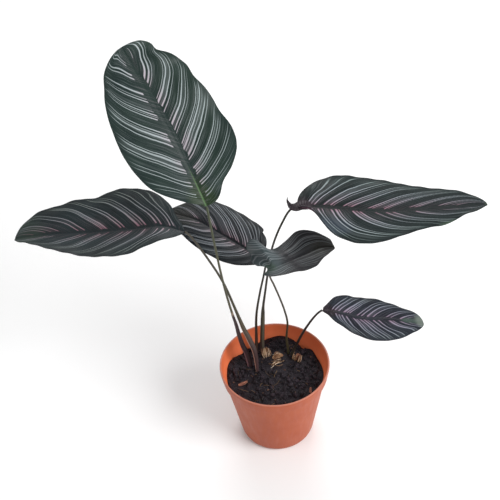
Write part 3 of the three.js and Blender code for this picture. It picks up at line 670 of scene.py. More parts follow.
def blade_material(name):
    """Living leaf with a thin waxy skin: soft broad gloss, painted with fine pinstripes.
    The eye sees dark green ground, and pale lines that start blunt near the midrib and thin out to the margin."""
    marks = MARKINGS[name]
    paint = FAN_PAINT if name == "leaf_4" else PAINT
    material, tree, surface = new_material("waxy striped leaf " + name[-1], 0.46, 0.22)
    stripes = node(tree, "SeparateXYZ", inputs={0: node(tree, "UVMap", {"uv_map": "stripes"})})
    place = node(tree, "SeparateXYZ", inputs={0: node(tree, "UVMap", {"uv_map": "place"})})
    start, reach = stripes.outputs[0], stripes.outputs[1]
    spot = node(tree, "TexCoord").outputs["Object"]

    # The lines waver over about 14 mm, and their edges are ragged at about 1.2 mm.
    waver = node(tree, "TexNoise", inputs={"Vector": spot, "Scale": 1 / (14 * MM), "Detail": 2.0})
    ragged = node(tree, "TexNoise", inputs={"Vector": spot, "Scale": 1 / (1.2 * MM), "Detail": 1.0})
    middle = node(tree, "Math", {"operation": "ADD"}, {0: start, 1: -paint["waver"] / 2})
    bent = node(tree, "Math", {"operation": "MULTIPLY_ADD"}, {0: waver, 1: paint["waver"], 2: middle})
    uneven_edge = node(tree, "Math", {"operation": "SUBTRACT"}, {0: ragged, 1: 0.5})
    wobbly = node(tree, "Math", {"operation": "MULTIPLY_ADD"}, {0: uneven_edge, 1: paint["ragged"], 2: bent})
    where = node(tree, "CombineXYZ", inputs={0: wobbly, 1: wobbly, 2: wobbly})
    narrowing = node(tree, "MapRange", {"span": (0.15, 0.85, 0.95, 1.7)}, {0: reach})

    lines, washes = [], []
    for side, offset in (("left", 0), ("right", RIGHT_HALF)):
        lines += [(at + offset, width, min(1, 0.35 + width / paint["bold"])) for at, width in marks[side]]
        washes += [(at + offset, width, strength) for at, width, strength in marks[side + "_washes"]]
    sharp = painted_stripes(tree, where, narrowing, lines)
    soft = painted_stripes(tree, where, narrowing, washes)

    # Streaks about 1 mm wide run along the stripes, and hairlines about 0.5 mm wide come and go between them.
    streak, hair = (node(tree, "CombineXYZ", inputs={
        0: node(tree, "Math", {"operation": "MULTIPLY"}, {0: bent, 1: crosswise}),
        1: node(tree, "Math", {"operation": "MULTIPLY"}, {0: reach, 1: lengthwise})})
        for crosswise, lengthwise in ((paint["streaks"], 4.0), (paint["hairs"], 1.6)))
    streaks = node(tree, "TexNoise", inputs={"Vector": streak, "Scale": 1.0, "Detail": 3.0})
    brush = node(tree, "MapRange", {"span": (0.35, 0.65, 0.25, 1.0)}, {0: streaks})
    brushed = node(tree, "Math", {"operation": "MULTIPLY"}, {0: soft, 1: brush})
    thin = node(tree, "TexNoise", inputs={"Vector": hair, "Scale": 1.0, "Detail": 1.0})
    hairs = node(tree, "MapRange", {
        "interpolation_type": "SMOOTHSTEP", "span": (0.56, 0.66, 0.0, marks["hairs"])}, {0: thin})

    # Lines begin a few millimetres from the midrib and end short of the margin, each group at its own place.
    aside = node(tree, "Math", {"operation": "ABSOLUTE"}, {0: place.outputs[1]})
    uneven = node(tree, "TexNoise", {"noise_dimensions": "1D"}, {"W": start, "Scale": 0.16, "Detail": 1.0})
    begin_at = node(tree, "Math", {"operation": "MULTIPLY_ADD"}, {0: uneven, 1: 3.0, 2: marks["begin"] - 1.2})
    past = node(tree, "Math", {"operation": "SUBTRACT"}, {0: aside, 1: begin_at})
    begun = node(tree, "MapRange", {"interpolation_type": "SMOOTHSTEP", "span": (-0.3, 0.5)}, {0: past})
    ended = node(tree, "Math", {"operation": "MULTIPLY_ADD"}, {0: uneven, 1: 0.16, 2: reach})
    fade = node(tree, "MapRange", {
        "interpolation_type": "SMOOTHSTEP", "span": (1.07, 0.9, 0.0, marks["strength"])}, {0: ended})
    painted = node(tree, "Math", {"operation": "MAXIMUM"}, {0: sharp, 1: brushed})
    gated = node(tree, "Math", {"operation": "MULTIPLY"}, {0: painted, 1: begun})
    drawn = node(tree, "Math", {"operation": "MAXIMUM"}, {0: gated, 1: hairs})
    mask = node(tree, "Math", {"operation": "MULTIPLY"}, {0: drawn, 1: fade})
    if "fading" in marks:
        fading = node(tree, "MapRange", {"span": marks["fading"]}, {0: place.outputs[0]})
        mask = node(tree, "Math", {"operation": "MULTIPLY"}, {0: mask, 1: fading})

    # Ground colour, clouded over about 25 mm and streaked, with patches near base, tip and margins
    cloud = node(tree, "TexNoise", inputs={"Vector": spot, "Scale": 1 / (25 * MM), "Detail": 3.0})
    mottled = node(tree, "Math", {"operation": "ADD"}, {0: cloud, 1: streaks})
    mottle = node(tree, "MapRange", {"span": (0.7, 1.3)}, {0: mottled})
    ground = node(tree, "Mix", {"data_type": "RGBA"}, {
        0: mottle, 6: linear(marks["shade"]), 7: linear(marks["ground"])}).outputs[2]
    for along, across, half_length, half_width, colour, strength in marks["patches"]:
        inward, sideways = (node(tree, "Math", {"operation": "MULTIPLY_ADD"}, {
            0: place.outputs[i], 1: 1 / half, 2: -centre / half})
            for i, centre, half in ((0, along, half_length), (1, across, half_width)))
        distance = node(tree, "VectorMath", {"operation": "LENGTH"}, {
            0: node(tree, "CombineXYZ", inputs={0: inward, 1: sideways})}).outputs[1]
        blotch = node(tree, "Math", {"operation": "MULTIPLY_ADD"}, {0: waver, 1: 0.5, 2: distance})
        amount = node(tree, "MapRange", {
            "interpolation_type": "SMOOTHSTEP", "span": (1.4, 0.7, 0.0, strength)}, {0: blotch})
        ground = node(tree, "Mix", {"data_type": "RGBA"}, {0: amount, 6: ground, 7: linear(colour)}).outputs[2]
    tint = node(tree, "ValToRGB", {"stops": marks["lines"]}, {0: reach})
    coloured = node(tree, "Mix", {"data_type": "RGBA"}, {0: mask, 6: ground, 7: tint}).outputs[2]

    # Fine side veins 1.6 mm apart catch the light. The skin's cells, well under 0.1 mm, are drawn at 0.7 mm to show.
    phase = node(tree, "Math", {"operation": "MULTIPLY"}, {0: bent, 1: 2 * math.pi / 1.6})
    veins = node(tree, "Math", {"operation": "SINE"}, {0: phase})
    skin = node(tree, "TexNoise", inputs={"Vector": spot, "Scale": 1 / (0.7 * MM), "Detail": 2.0})
    height = node(tree, "Math", {"operation": "MULTIPLY_ADD"}, {0: veins, 1: 0.35, 2: skin})
    gloss = node(tree, "MapRange", {"span": (0.3, 0.7, 0.4, 0.55)}, {0: cloud})
    dress(tree, surface, coloured, height, 0.3, 0.2, gloss)
    return material


def underside_material(name, shade, colour):
    """Leaf underside, smooth skin over burgundy pigment: matt to satin, with a paler midrib and fine side veins."""
    material, tree, surface = new_material(name, 0.5, 0.35)
    stripes = node(tree, "SeparateXYZ", inputs={0: node(tree, "UVMap", {"uv_map": "stripes"})})
    place = node(tree, "SeparateXYZ", inputs={0: node(tree, "UVMap", {"uv_map": "place"})})
    spot = node(tree, "TexCoord").outputs["Object"]
    # The pigment is clouded over about 18 mm.
    cloud = node(tree, "TexNoise", inputs={"Vector": spot, "Scale": 1 / (18 * MM), "Detail": 3.0})
    flesh = node(tree, "Mix", {"data_type": "RGBA"}, {0: cloud, 6: [*shade, 1], 7: [*colour, 1]}).outputs[2]
    aside = node(tree, "Math", {"operation": "ABSOLUTE"}, {0: place.outputs[1]})
    rib = node(tree, "MapRange", {"interpolation_type": "SMOOTHSTEP", "span": (2.0, 0.8, 0.0, 0.6)}, {0: aside})
    coloured = node(tree, "Mix", {"data_type": "RGBA"}, {0: rib, 6: flesh, 7: linear("#7d5560")}).outputs[2]
    # Side veins 2.2 mm apart
    phase = node(tree, "Math", {"operation": "MULTIPLY"}, {0: stripes.outputs[0], 1: 2 * math.pi / 2.2})
    veins = node(tree, "Math", {"operation": "SINE"}, {0: phase})
    dress(tree, surface, coloured, veins, 0.5, 0.2)
    return material


# Stalks, straws and strands
def smooth_route(route, count):
    """Points and radii along a centripetal curve through the route, in millimetres."""
    points = np.array([p[:3] for p in route], float)
    padded = np.concatenate([[2 * points[0] - points[1]], points, [2 * points[-1] - points[-2]]])
    places = np.linspace(0, 1, count)
    last = len(points) - 1
    out = []
    for place in places:
        x = place * last
        i = min(int(x), last - 1)
        w = x - i
        p0, p1, p2, p3 = padded[i:i + 4]
        d0, d1, d2 = (max(np.linalg.norm(b - a) ** 0.5, 1e-4) for a, b in ((p0, p1), (p1, p2), (p2, p3)))
        t1 = ((p1 - p0) / d0 - (p2 - p0) / (d0 + d1) + (p2 - p1) / d1) * d1
        t2 = ((p2 - p1) / d1 - (p3 - p1) / (d1 + d2) + (p3 - p2) / d2) * d1
        out.append(p1 + t1 * w + (3 * (p2 - p1) - 2 * t1 - t2) * w ** 2 + (2 * (p1 - p2) + t1 + t2) * w ** 3)
    return np.array(out), along_list([p[3] for p in route], places)


def stalk_route(name):
    """A stalk's route from inside the soil to the underside of its blade, as in the solids."""
    route = STALKS[name]
    x, y, z, radius = route[0]
    point, ahead, up, _ = (v[0] for v in midrib_frame(LEAVES[name], np.array([0.0])))
    if name == "leaf_4":
        tip = point - up * (BLADE_THICKNESS + MIDRIB_DEPTH + 0.5) + ahead * 1.2
    else:
        tip = point - ahead * 0.9 - up * 0.8
    return [[x, y, STALK_FOOT_HEIGHT, radius], [x, y, z - 3, radius], [x, y, z + 3, radius], *route[1:],
            [*tip, route[-1][3]]]


def tube(route, rings, sides, ribs=0):
    """A closed tube along a route. ribs is the height of its five ribs, as a share of its radius."""
    centres, radii = smooth_route(route, rings + 1)
    work = bmesh.new()
    bmesh.ops.create_grid(work, x_segments=sides, y_segments=rings, size=1)
    layer = work.loops.layers.uv.new("stalk")
    sideways = np.array([1.0, 0, 0])
    frames = []
    for i in range(rings + 1):
        ahead = unit(centres[min(i + 1, rings)] - centres[max(i - 1, 0)])
        sideways = unit(sideways - ahead * sideways.dot(ahead))
        frames.append((centres[i], sideways, np.cross(ahead, sideways), radii[i]))
    for face in work.faces:
        for loop in face.loops:
            x, y = loop.vert.co[:2]
            loop[layer].uv = (frames[round((y + 1) / 2 * rings)][0][2], (x + 1) / 2)
    for vert in work.verts:
        x, y = vert.co[:2]
        centre, first, second, radius = frames[round((y + 1) / 2 * rings)]
        angle = math.pi * (x + 1)
        radius += ribs * radius * math.cos(5 * angle)
        vert.co = Vector(centre + (first * math.cos(angle) + second * math.sin(angle)) * radius) * MM
    bmesh.ops.remove_doubles(work, verts=work.verts, dist=1e-6)
    bmesh.ops.holes_fill(work, edges=[e for e in work.edges if e.is_boundary], sides=0)
    bmesh.ops.recalc_face_normals(work, faces=work.faces)
    return work


def stalk_material(name):
    """Living leaf stalk, smooth fleshy skin: satin, ribbed along its length, darker and purple at the foot."""
    material, tree, surface = new_material("fleshy leaf stalk " + name[-1], 0.45, 0.4)
    place = node(tree, "SeparateXYZ", inputs={0: node(tree, "UVMap", {"uv_map": "stalk"})})
    stops = STALK_COLOURS[name]
    low, high = stops[0][0], stops[-1][0]
    upward = node(tree, "MapRange", {"span": (low, high)}, {0: place.outputs[0]})
    ramp = node(tree, "ValToRGB", {"stops": [((h - low) / (high - low), colour) for h, colour in stops]}, {0: upward})
    spot = node(tree, "TexCoord").outputs["Object"]
    # Speckles and streaks 0.8 mm wide, drawn out along the stalk
    drawn = node(tree, "VectorMath", {"operation": "MULTIPLY"}, {0: spot, 1: (1.0, 1.0, 0.12)})
    streak = node(tree, "TexNoise", inputs={"Vector": drawn, "Scale": 1 / (0.8 * MM), "Detail": 2.0})
    amount = node(tree, "MapRange", {"span": (0.35, 0.75, 0.0, 0.35)}, {0: streak})
    coloured = node(tree, "Mix", {"data_type": "RGBA"}, {0: amount, 6: ramp, 7: linear("#575040")}).outputs[2]
    if name in SHEATH_MARGINS:
        # The sheath's free margin is thin, dry and pale.
        turn, top, pale = SHEATH_MARGINS[name]
        off = node(tree, "Math", {"operation": "ABSOLUTE"}, {
            0: node(tree, "Math", {"operation": "SUBTRACT"}, {0: place.outputs[1], 1: turn})})
        line = node(tree, "MapRange", {"interpolation_type": "SMOOTHSTEP", "span": (0.08, 0.03, 0.0, 0.8)}, {0: off})
        below = node(tree, "MapRange", {"span": (top, top - 6, 0.0, line)}, {0: place.outputs[0]})
        coloured = node(tree, "Mix", {"data_type": "RGBA"}, {0: below, 6: coloured, 7: linear(pale)}).outputs[2]
    dress(tree, surface, coloured, streak, 0.4, 0.2)
    return material


# Soil
def soil_height(x, y):
    """The soil's smooth top, in millimetres, as in the solids."""
    edge = min(math.hypot(x, y) / SOIL_TOP_RADIUS, 1)
    lumps = 0.8 * math.sin(x / 5 + 1.3) * math.sin(y / 6 + 0.4) + 0.5 * math.sin(x / 3.1 - y / 4.2)
    height = SOIL_CENTRE_HEIGHT - SOIL_EDGE_DROP * edge * edge + lumps * (1 - edge ** 4)
    for mound_x, mound_y, rise, reach in SOIL_MOUNDS:
        height += rise * math.exp(-((x - mound_x) ** 2 + (y - mound_y) ** 2) / reach ** 2)
    return height


def soil_top(x, y):
    """The soil's height with its clods, 5 mm across, and grit, 2.2 mm across."""
    clods = noise.noise(Vector((x / 5, y / 5, 3))) + 0.5 * noise.noise(Vector((x / 2.2, y / 2.2, 8)))
    return soil_height(x, y) + 1.1 * clods


def on_soil(points):
    """Points whose third number is a height above the soil, with their real height."""
    return [[x, y, soil_height(x, y) + height, *rest] for x, y, height, *rest in points]


def scattered(draw, spread):
    """A random place on the soil, in millimetres."""
    radius = spread * math.sqrt(draw.random())
    angle = draw.uniform(0, 2 * math.pi)
    return radius * math.cos(angle), radius * math.sin(angle)


def soil_material(settings):
    """Moist potting mix of dark peat and composted bark: matt and near black with a purple cast,
    broken by small wet glints and brown bits."""
    material, tree, surface = new_material("moist dark potting mix", 0.85, 0.35)
    spot = node(tree, "TexCoord").outputs["Object"]
    tone = node(tree, "Attribute", {"attribute_name": "tone"}).outputs["Fac"]
    # Grains about 1.5 mm across
    grain = node(tree, "TexNoise", inputs={
        "Vector": spot, "Scale": 1 / (1.5 * MM), "Detail": 4.0, "Roughness": 0.65})
    mixed = node(tree, "Math", {"operation": "MULTIPLY_ADD"}, {0: grain, 1: 0.35, 2: tone})
    ramp = node(tree, "ValToRGB", {"stops": [
        (0.0, "#0b090c"), (0.25, [*settings.colour, 1]), (0.5, "#1e171f"), (0.78, "#2b2129"),
        (0.95, "#47362f"), (1.0, "#6b5546")]}, {0: mixed})
    # Pale mineral flecks under 1 mm across
    flecks = node(tree, "TexNoise", inputs={"Vector": spot, "Scale": 1 / (0.9 * MM), "Detail": 1.0})
    shown = node(tree, "MapRange", {"span": (0.62, 0.72, 0.0, 0.6)}, {0: flecks})
    flecked = node(tree, "Mix", {"data_type": "RGBA"}, {0: shown, 6: ramp, 7: linear("#5f585f")}).outputs[2]
    shine = node(tree, "MapRange", {"span": (0.4, 0.75, 0.9, 0.5)}, {0: grain})
    dress(tree, surface, flecked, grain, 0.9, 0.8, shine)
    return material


def grain_material(name, colours, roughness):
    """Small loose bits, matt, each with its own tone between the colours and mottled at about 1 mm."""
    material, tree, surface = new_material(name, roughness, 0.4)
    tone = node(tree, "Attribute", {"attribute_name": "tone"}).outputs["Fac"]
    spot = node(tree, "TexCoord").outputs["Object"]
    mottle = node(tree, "TexNoise", inputs={"Vector": spot, "Scale": 1 / MM, "Detail": 2.0})
    mixed = node(tree, "Math", {"operation": "MULTIPLY_ADD"}, {0: mottle, 1: 0.3, 2: tone})
    last = len(colours) - 1
    ramp = node(tree, "ValToRGB", {"stops": [(i / last, colour) for i, colour in enumerate(colours)]}, {0: mixed})
    dress(tree, surface, ramp, mottle, 0.5, 0.2)
    return material


def spun(profile, steps):
    """Spins a closed profile of radii and heights, in millimetres, into a solid of revolution."""
    work = bmesh.new()
    path = [work.verts.new((r * MM, 0, z * MM)) for r, z in profile]
    edges = [work.edges.new(pair) for pair in zip(path, path[1:])]
    bmesh.ops.spin(work, geom=path + edges, cent=(0, 0, 0), axis=(0, 0, 1), angle=2 * math.pi, steps=steps,
                   use_merge=True)
    bmesh.ops.remove_doubles(work, verts=work.verts, dist=1e-6)
    return work


def shape_soil():
    """The soil bed, with clods on top and its edge against the pot's flared wall."""
    rings, segments = SOIL_GRID
    edge_height = SOIL_CENTRE_HEIGHT - SOIL_EDGE_DROP
    profile = [*SOIL_FOOT_PROFILE, (SOIL_TOP_RADIUS, edge_height)]
    profile += [(SOIL_TOP_RADIUS * (1 - i / rings), SOIL_CENTRE_HEIGHT) for i in range(1, rings + 1)]
    work = spun(profile, segments)
    for vert in work.verts:
        x, y, z = (c / MM for c in vert.co)
        if z > edge_height - 0.1:
            at_wall = z < edge_height + 0.1
            height = soil_height(x, y) if at_wall else soil_top(x, y)
            spread = 1 + WALL_FLARE * (height - edge_height) / SOIL_TOP_RADIUS if at_wall else 1
            vert.co = (x * spread * MM, y * spread * MM, height * MM)
    bmesh.ops.recalc_face_normals(work, faces=work.faces)
    tone = work.verts.layers.float.new("tone")
    for vert in work.verts:
        vert[tone] = 0.08 + 0.12 * (noise.noise(vert.co / MM / 6) + 1)
    return work


def shape_crumbs(count, draw, sizes, spread, tones, sink=0.35):
    """Loose angular crumbs, a few dozen faces each. Large ones stay off the dry scraps."""
    laid = [point for scrap in SCRAPS.values() for point in scrap["midrib"]]
    laid += [point for route in STRAWS.values() for point in route]
    work = bmesh.new()
    tone = work.verts.layers.float.new("tone")
    for _ in range(count):
        x, y = scattered(draw, spread)
        size = draw.uniform(0, 1) ** 2 * (sizes[1] - sizes[0]) + sizes[0]
        if size > LARGE_CRUMB and any(math.hypot(x - p[0], y - p[1]) < size + SCRAP_CLEARANCE for p in laid):
            continue
        turn = Matrix.Rotation(draw.uniform(0, 6.28), 4, "Z") @ Matrix.Rotation(draw.uniform(0, 3.14), 4, "X")
        squeeze = Matrix.Diagonal((draw.uniform(0.7, 1.4), draw.uniform(0.7, 1.2), draw.uniform(0.5, 1), 1))
        centre = Vector((x, y, soil_top(x, y) + size * sink)) * MM
        made = bmesh.ops.create_icosphere(
            work, subdivisions=2 if size > 2 * LARGE_CRUMB else 1, radius=size * MM,
            matrix=Matrix.Translation(centre) @ turn @ squeeze)
        value = draw.uniform(*tones)
        for vert in made["verts"]:
            vert[tone] = value
            out = vert.co - centre
            vert.co = centre + out * (1 + 0.7 * noise.noise(vert.co / MM * 1.1))
    return work


def add_strand(whole, route, value):
    """Adds one thin strand along a route to a mesh, with its own tone."""
    strand = tube(route, *STRAND_GRID)
    mesh = bpy.data.meshes.new("strand")
    strand.to_mesh(mesh)
    strand.free()
    before = len(whole.verts)
    whole.from_mesh(mesh)
    bpy.data.meshes.remove(mesh)
    whole.verts.ensure_lookup_table()
    tone = whole.verts.layers.float["tone"]
    for vert in whole.verts[before:]:
        vert[tone] = value


def shape_fibres(count, draw, spread):
    """Thin curved fibres and rootlets lying on the soil, 5 to 14 mm long."""
    whole = bmesh.new()
    whole.verts.layers.float.new("tone")
    for _ in range(count):
        x, y = scattered(draw, spread)
        heading = draw.uniform(0, 6.28)
        length = draw.uniform(5, 14)
        route = []
        for k in range(5):
            heading += draw.uniform(-0.5, 0.5)
            inner = 0 < k < 4
            route.append([x, y, soil_top(x, y) + (1.3 if inner else 0.5), 0.24 if inner else 0.14])
            x += math.cos(heading) * length / 4
            y += math.sin(heading) * length / 4
            if math.hypot(x, y) > spread + 2:
                break
        if len(route) < 3:
            continue
        add_strand(whole, route, draw.uniform(0, 1))
    return whole


# Dry scraps
def shape_strands():
    """Stiff torn strands: a fan from the foot of each husk, and a tangle over the straws."""
    draw = random.Random(SEED + 5)
    whole = bmesh.new()
    whole.verts.layers.float.new("tone")
    for name, (count, reach) in HUSK_STRANDS.items():
        husk = SCRAPS[name]
        foot, tip = (np.array(husk["midrib"][k]) for k in (0, -1))
        front = unit(np.array(husk["facing"][0], float))
        across = unit(np.cross(tip - foot, front))
        for _ in range(count):
            t = draw.uniform(-1, 1)
            length = draw.uniform(0.6, reach)
            start = foot + across * t * 3.4 + front * draw.uniform(0, 1.6)
            end = foot + (tip - foot) * length + across * (t * 4.4 + draw.uniform(-1.5, 1.5))
            end = end + front * draw.uniform(0, 2)
            middle = (start + end) / 2 + across * t * 1.6 + front * draw.uniform(1.2, 2.4)
            # Each strand starts inside the soil and runs out to a point.
            start[2] = -0.6
            thick = draw.uniform(0.22, 0.42)
            route = [[*start, thick], [*middle, thick], [*end, 0.08]]
            add_strand(whole, on_soil(route), draw.uniform(0, 0.85))
    for _ in range(STRAW_STRANDS):
        x, y = draw.uniform(-6, 0), draw.uniform(8, 12)
        far_x, far_y = x + draw.uniform(9, 13), y + draw.uniform(6, 9)
        lift = draw.uniform(1.6, 3)
        route = [[x, y, -0.4, 0.2], [(x + far_x) / 2, (y + far_y) / 2, lift, 0.35], [far_x, far_y, 0.2, 0.1]]
        add_strand(whole, on_soil(route), draw.uniform(0, 1))
    return whole


def husk_material(name, pale, dark, bright, laid=None):
    """Dead dry leaf sheath or bark: papery, matt and fibrous, with pale threads over brown.
    The threads follow the UV map laid, or else stand upright."""
    material, tree, surface = new_material(name, 0.75, 0.3)
    spot = node(tree, "UVMap", {"uv_map": laid}) if laid else node(tree, "TexCoord").outputs["Object"]
    stretch = (0.12 * MM, MM, 0) if laid else (1.0, 1.0, 0.2)
    drawn = node(tree, "VectorMath", {"operation": "MULTIPLY"}, {0: spot, 1: stretch})
    # Threads about 0.3 mm apart are drawn 0.7 mm apart, as coarse as they need to show.
    threads = node(tree, "TexNoise", inputs={"Vector": drawn, "Scale": 1 / (0.7 * MM), "Detail": 3.0})
    ramp = node(tree, "ValToRGB", {"stops": [(0.36, dark), (0.5, pale), (0.62, bright)]}, {0: threads})
    dress(tree, surface, ramp, threads, 0.8, 0.3)
    return material


def shape_scrap(name):
    """A husk or a chip of bark, as a thin sheet on the soil. A husk's papery margin is torn into points."""
    scrap = dict(SCRAPS[name])
    scrap["midrib"] = on_soil(scrap["midrib"])
    scrap["arch"] = 0.1 if name.startswith("bark") else 0.0
    draw = random.Random(SEED + len(name) + int(name[-1]))
    turn = draw.uniform(0, 6)
    if name.startswith("husk"):
        for side in ("left", "right"):
            even = along_list(scrap[side], np.linspace(0, 1, 15))
            scrap[side] = [width * (1.05 if k % 2 else draw.uniform(0.55, 0.85)) for k, width in enumerate(even)]

    def ripple(u, t):
        return 0.25 * np.sin(9 * t + turn) * np.sin(8 * u + turn) * np.sin(np.pi * u)

    work, u, t = thin_sheet(scrap, SCRAP_GRID, SCRAP_THICKNESS, 0, ripple)
    place = np.stack([midrib_lengths(scrap, u), t * one_side(scrap, "", u, t)], axis=1)
    lay_uv(work, "place", place, place, t)
    return work


# Pot
def shape_pot():
    """Spins the wall and both faces of the floor, opens the drain holes, and marks the inside of the wall."""
    underside = [(r, 0) for r in reversed(POT_FLOOR_RINGS[1:])]
    inside = [(r, POT_FLOOR_THICKNESS) for r in POT_FLOOR_RINGS[1:]]
    work = spun([(0, 0), *underside, *POT_WALL_PROFILE, *inside, (0, POT_FLOOR_THICKNESS)], POT_SEGMENTS)
    bmesh.ops.recalc_face_normals(work, faces=work.faces)
    near, far = DRAIN_PATCH_RADII
    for k in range(DRAIN_COUNT):
        angle = 2 * math.pi * (k + 0.5) / DRAIN_COUNT
        centre = Vector((math.cos(angle), math.sin(angle), 0)) * DRAIN_CIRCLE * MM
        rims = []
        for height in (0, POT_FLOOR_THICKNESS):
            patch = []
            for face in work.faces:
                middle = face.calc_center_median()
                if abs(middle.z - height * MM) > 1e-5 or not near < middle.xy.length / MM < far:
                    continue
                turned = (math.atan2(middle.y, middle.x) - angle + math.pi) % (2 * math.pi) - math.pi
                if abs(turned) < DRAIN_PATCH_ANGLE:
                    patch.append(face)
            border = {e for f in patch for e in f.edges if sum(o in patch for o in e.link_faces) == 1}
            bmesh.ops.delete(work, geom=patch, context="FACES")
            rims.append([e for e in border if e.is_valid])
            for vert in {v for e in rims[-1] for v in e.verts}:
                outward = Vector((vert.co.x - centre.x, vert.co.y - centre.y, 0)).normalized()
                vert.co.x, vert.co.y = (centre + outward * DRAIN_RADIUS * MM).xy
        bmesh.ops.bridge_loops(work, edges=rims[0] + rims[1])
    bmesh.ops.recalc_face_normals(work, faces=work.faces)
    for edge in work.edges:
        if len(edge.link_faces) == 2 and edge.calc_face_angle(0) > math.radians(40):
            edge.smooth = False
    # The inside of the wall is marked for the pot's painted glow.
    within = work.verts.layers.float.new("within")
    outer_radii, outer_heights = zip(*POT_WALL_PROFILE[:POT_OUTER_POINTS])
    for vert in work.verts:
        height = vert.co.z / MM
        wall = np.interp(height, outer_heights, outer_radii)
        vert[within] = 1.0 if 2.5 < height < 101.7 and vert.co.xy.length / MM < wall - 0.8 else 0.0
    return work


def pot_material(settings):
    """Moulded polypropylene in a terracotta colour: even and satin, faintly mottled, with rubbed, dusty places, and a
    painted glow on the inside of the wall and on the lip.
    """
    material, tree, surface = new_material("moulded terracotta polypropylene", 0.5, 0.4)
    spot = node(tree, "TexCoord").outputs["Object"]
    # Cloudy mottling over 20 mm, rub marks 4 mm wide drawn out upwards, and dust specks of about 1 mm
    cloud = node(tree, "TexNoise", inputs={"Vector": spot, "Scale": 1 / (20 * MM), "Detail": 3.0})
    colour = node(tree, "Mix", {"data_type": "RGBA"}, {
        0: cloud, 6: [*settings.shade, 1], 7: [*settings.colour, 1]}).outputs[2]
    drawn = node(tree, "VectorMath", {"operation": "MULTIPLY"}, {0: spot, 1: (1.0, 1.0, 0.15)})
    rubs = node(tree, "TexNoise", inputs={"Vector": drawn, "Scale": 1 / (4 * MM), "Detail": 4.0})
    rubbed = node(tree, "MapRange", {"span": (0.52, 0.8, 0.0, 0.3)}, {0: rubs})
    specks = node(tree, "TexNoise", inputs={"Vector": spot, "Scale": 1 / (1.2 * MM), "Detail": 1.0})
    dusty = node(tree, "MapRange", {"span": (0.68, 0.78, 0.0, 0.35)}, {0: specks})
    # Painted glow: the inside of the wall is painted a fuller orange, for daylight shining through the thin wall. The
    # lip's top is painted paler, a painted glow of the light through the thin rim.
    within = node(tree, "Attribute", {"attribute_name": "within"}).outputs["Fac"]
    painted_glow = node(tree, "Math", {"operation": "MULTIPLY"}, {0: within, 1: 0.95})
    up = node(tree, "SeparateXYZ", inputs={0: spot}).outputs[2]
    lip = node(tree, "MapRange", {"span": (100.6 * MM, 101.8 * MM, 0.0, 0.45)}, {0: up})
    for amount, layer in ((rubbed, "#b96c49"), (dusty, "#6a3526"), (painted_glow, "#e8774c"), (lip, "#c98b78")):
        colour = node(tree, "Mix", {"data_type": "RGBA"}, {0: amount, 6: colour, 7: linear(layer)}).outputs[2]
    # The mould's grain, about 0.1 mm, is drawn at 0.6 mm to show.
    fine = node(tree, "TexNoise", inputs={"Vector": spot, "Scale": 1 / (0.6 * MM), "Detail": 2.0})
    gloss = node(tree, "MapRange", {"span": (0.3, 0.7, 0.42, 0.6)}, {0: rubs})
    dress(tree, surface, colour, fine, 0.25, 0.1, gloss)
    return material


# Settings that a user would change
class PotSettings(bpy.types.PropertyGroup):
    colour: bpy.props.FloatVectorProperty(
        name="Pot colour", description="Colour of the moulded plastic", subtype="COLOR", size=3, min=0, max=1,
        default=linear("#b05733")[:3])
    shade: bpy.props.FloatVectorProperty(
        name="Pot shade", description="Darker colour of the mottling", subtype="COLOR", size=3, min=0, max=1,
        default=linear("#9e4527")[:3])


class SoilSettings(bpy.types.PropertyGroup):
    colour: bpy.props.FloatVectorProperty(
        name="Soil colour", description="Colour of the moist potting mix", subtype="COLOR", size=3, min=0, max=1,
        default=linear("#130e14")[:3])
    crumbs: bpy.props.IntProperty(
        name="Crumbs", description="How many loose crumbs lie on the soil", default=1100, min=0, max=3000)
    crumb_size: bpy.props.FloatProperty(
        name="Crumb size", description="Radius of the largest crumbs", default=2.6 * MM, min=0.5 * MM, max=6 * MM,
        unit="LENGTH", subtype="DISTANCE")


class LeafSettings(bpy.types.PropertyGroup):
    underside: bpy.props.FloatVectorProperty(
        name="Underside", description="Colour of the leaves' underside", subtype="COLOR", size=3, min=0, max=1,
        default=linear("#54293f")[:3])
    underside_shade: bpy.props.FloatVectorProperty(
        name="Underside shade", description="Darker colour of the underside", subtype="COLOR", size=3, min=0,
        max=1, default=linear("#3d1d2f")[:3])


class StageSettings(bpy.types.PropertyGroup):
    floor: bpy.props.FloatVectorProperty(
        name="Floor colour", description="Colour of the plain floor", subtype="COLOR", size=3, min=0, max=1,
        default=(0.93, 0.93, 0.93))
    daylight: bpy.props.FloatProperty(
        name="Daylight", description="Strength of the even light from all sides", default=0.45, min=0, max=5)
    floor_size: bpy.props.FloatProperty(
        name="Floor size", description="Length of the floor's sides", default=8, min=1, max=50, unit="LENGTH",
        subtype="DISTANCE")


class PLANT_OT_pot(bpy.types.Operator):
    """Builds the moulded nursery pot"""
    bl_idname = "plant.make_pot"
    bl_label = "Make pot"

    def execute(self, context):
        settings = context.scene.plant_pot
        finish_piece("moulded_pot", shape_pot(), [pot_material(settings)], ["pot"])
        return {"FINISHED"}


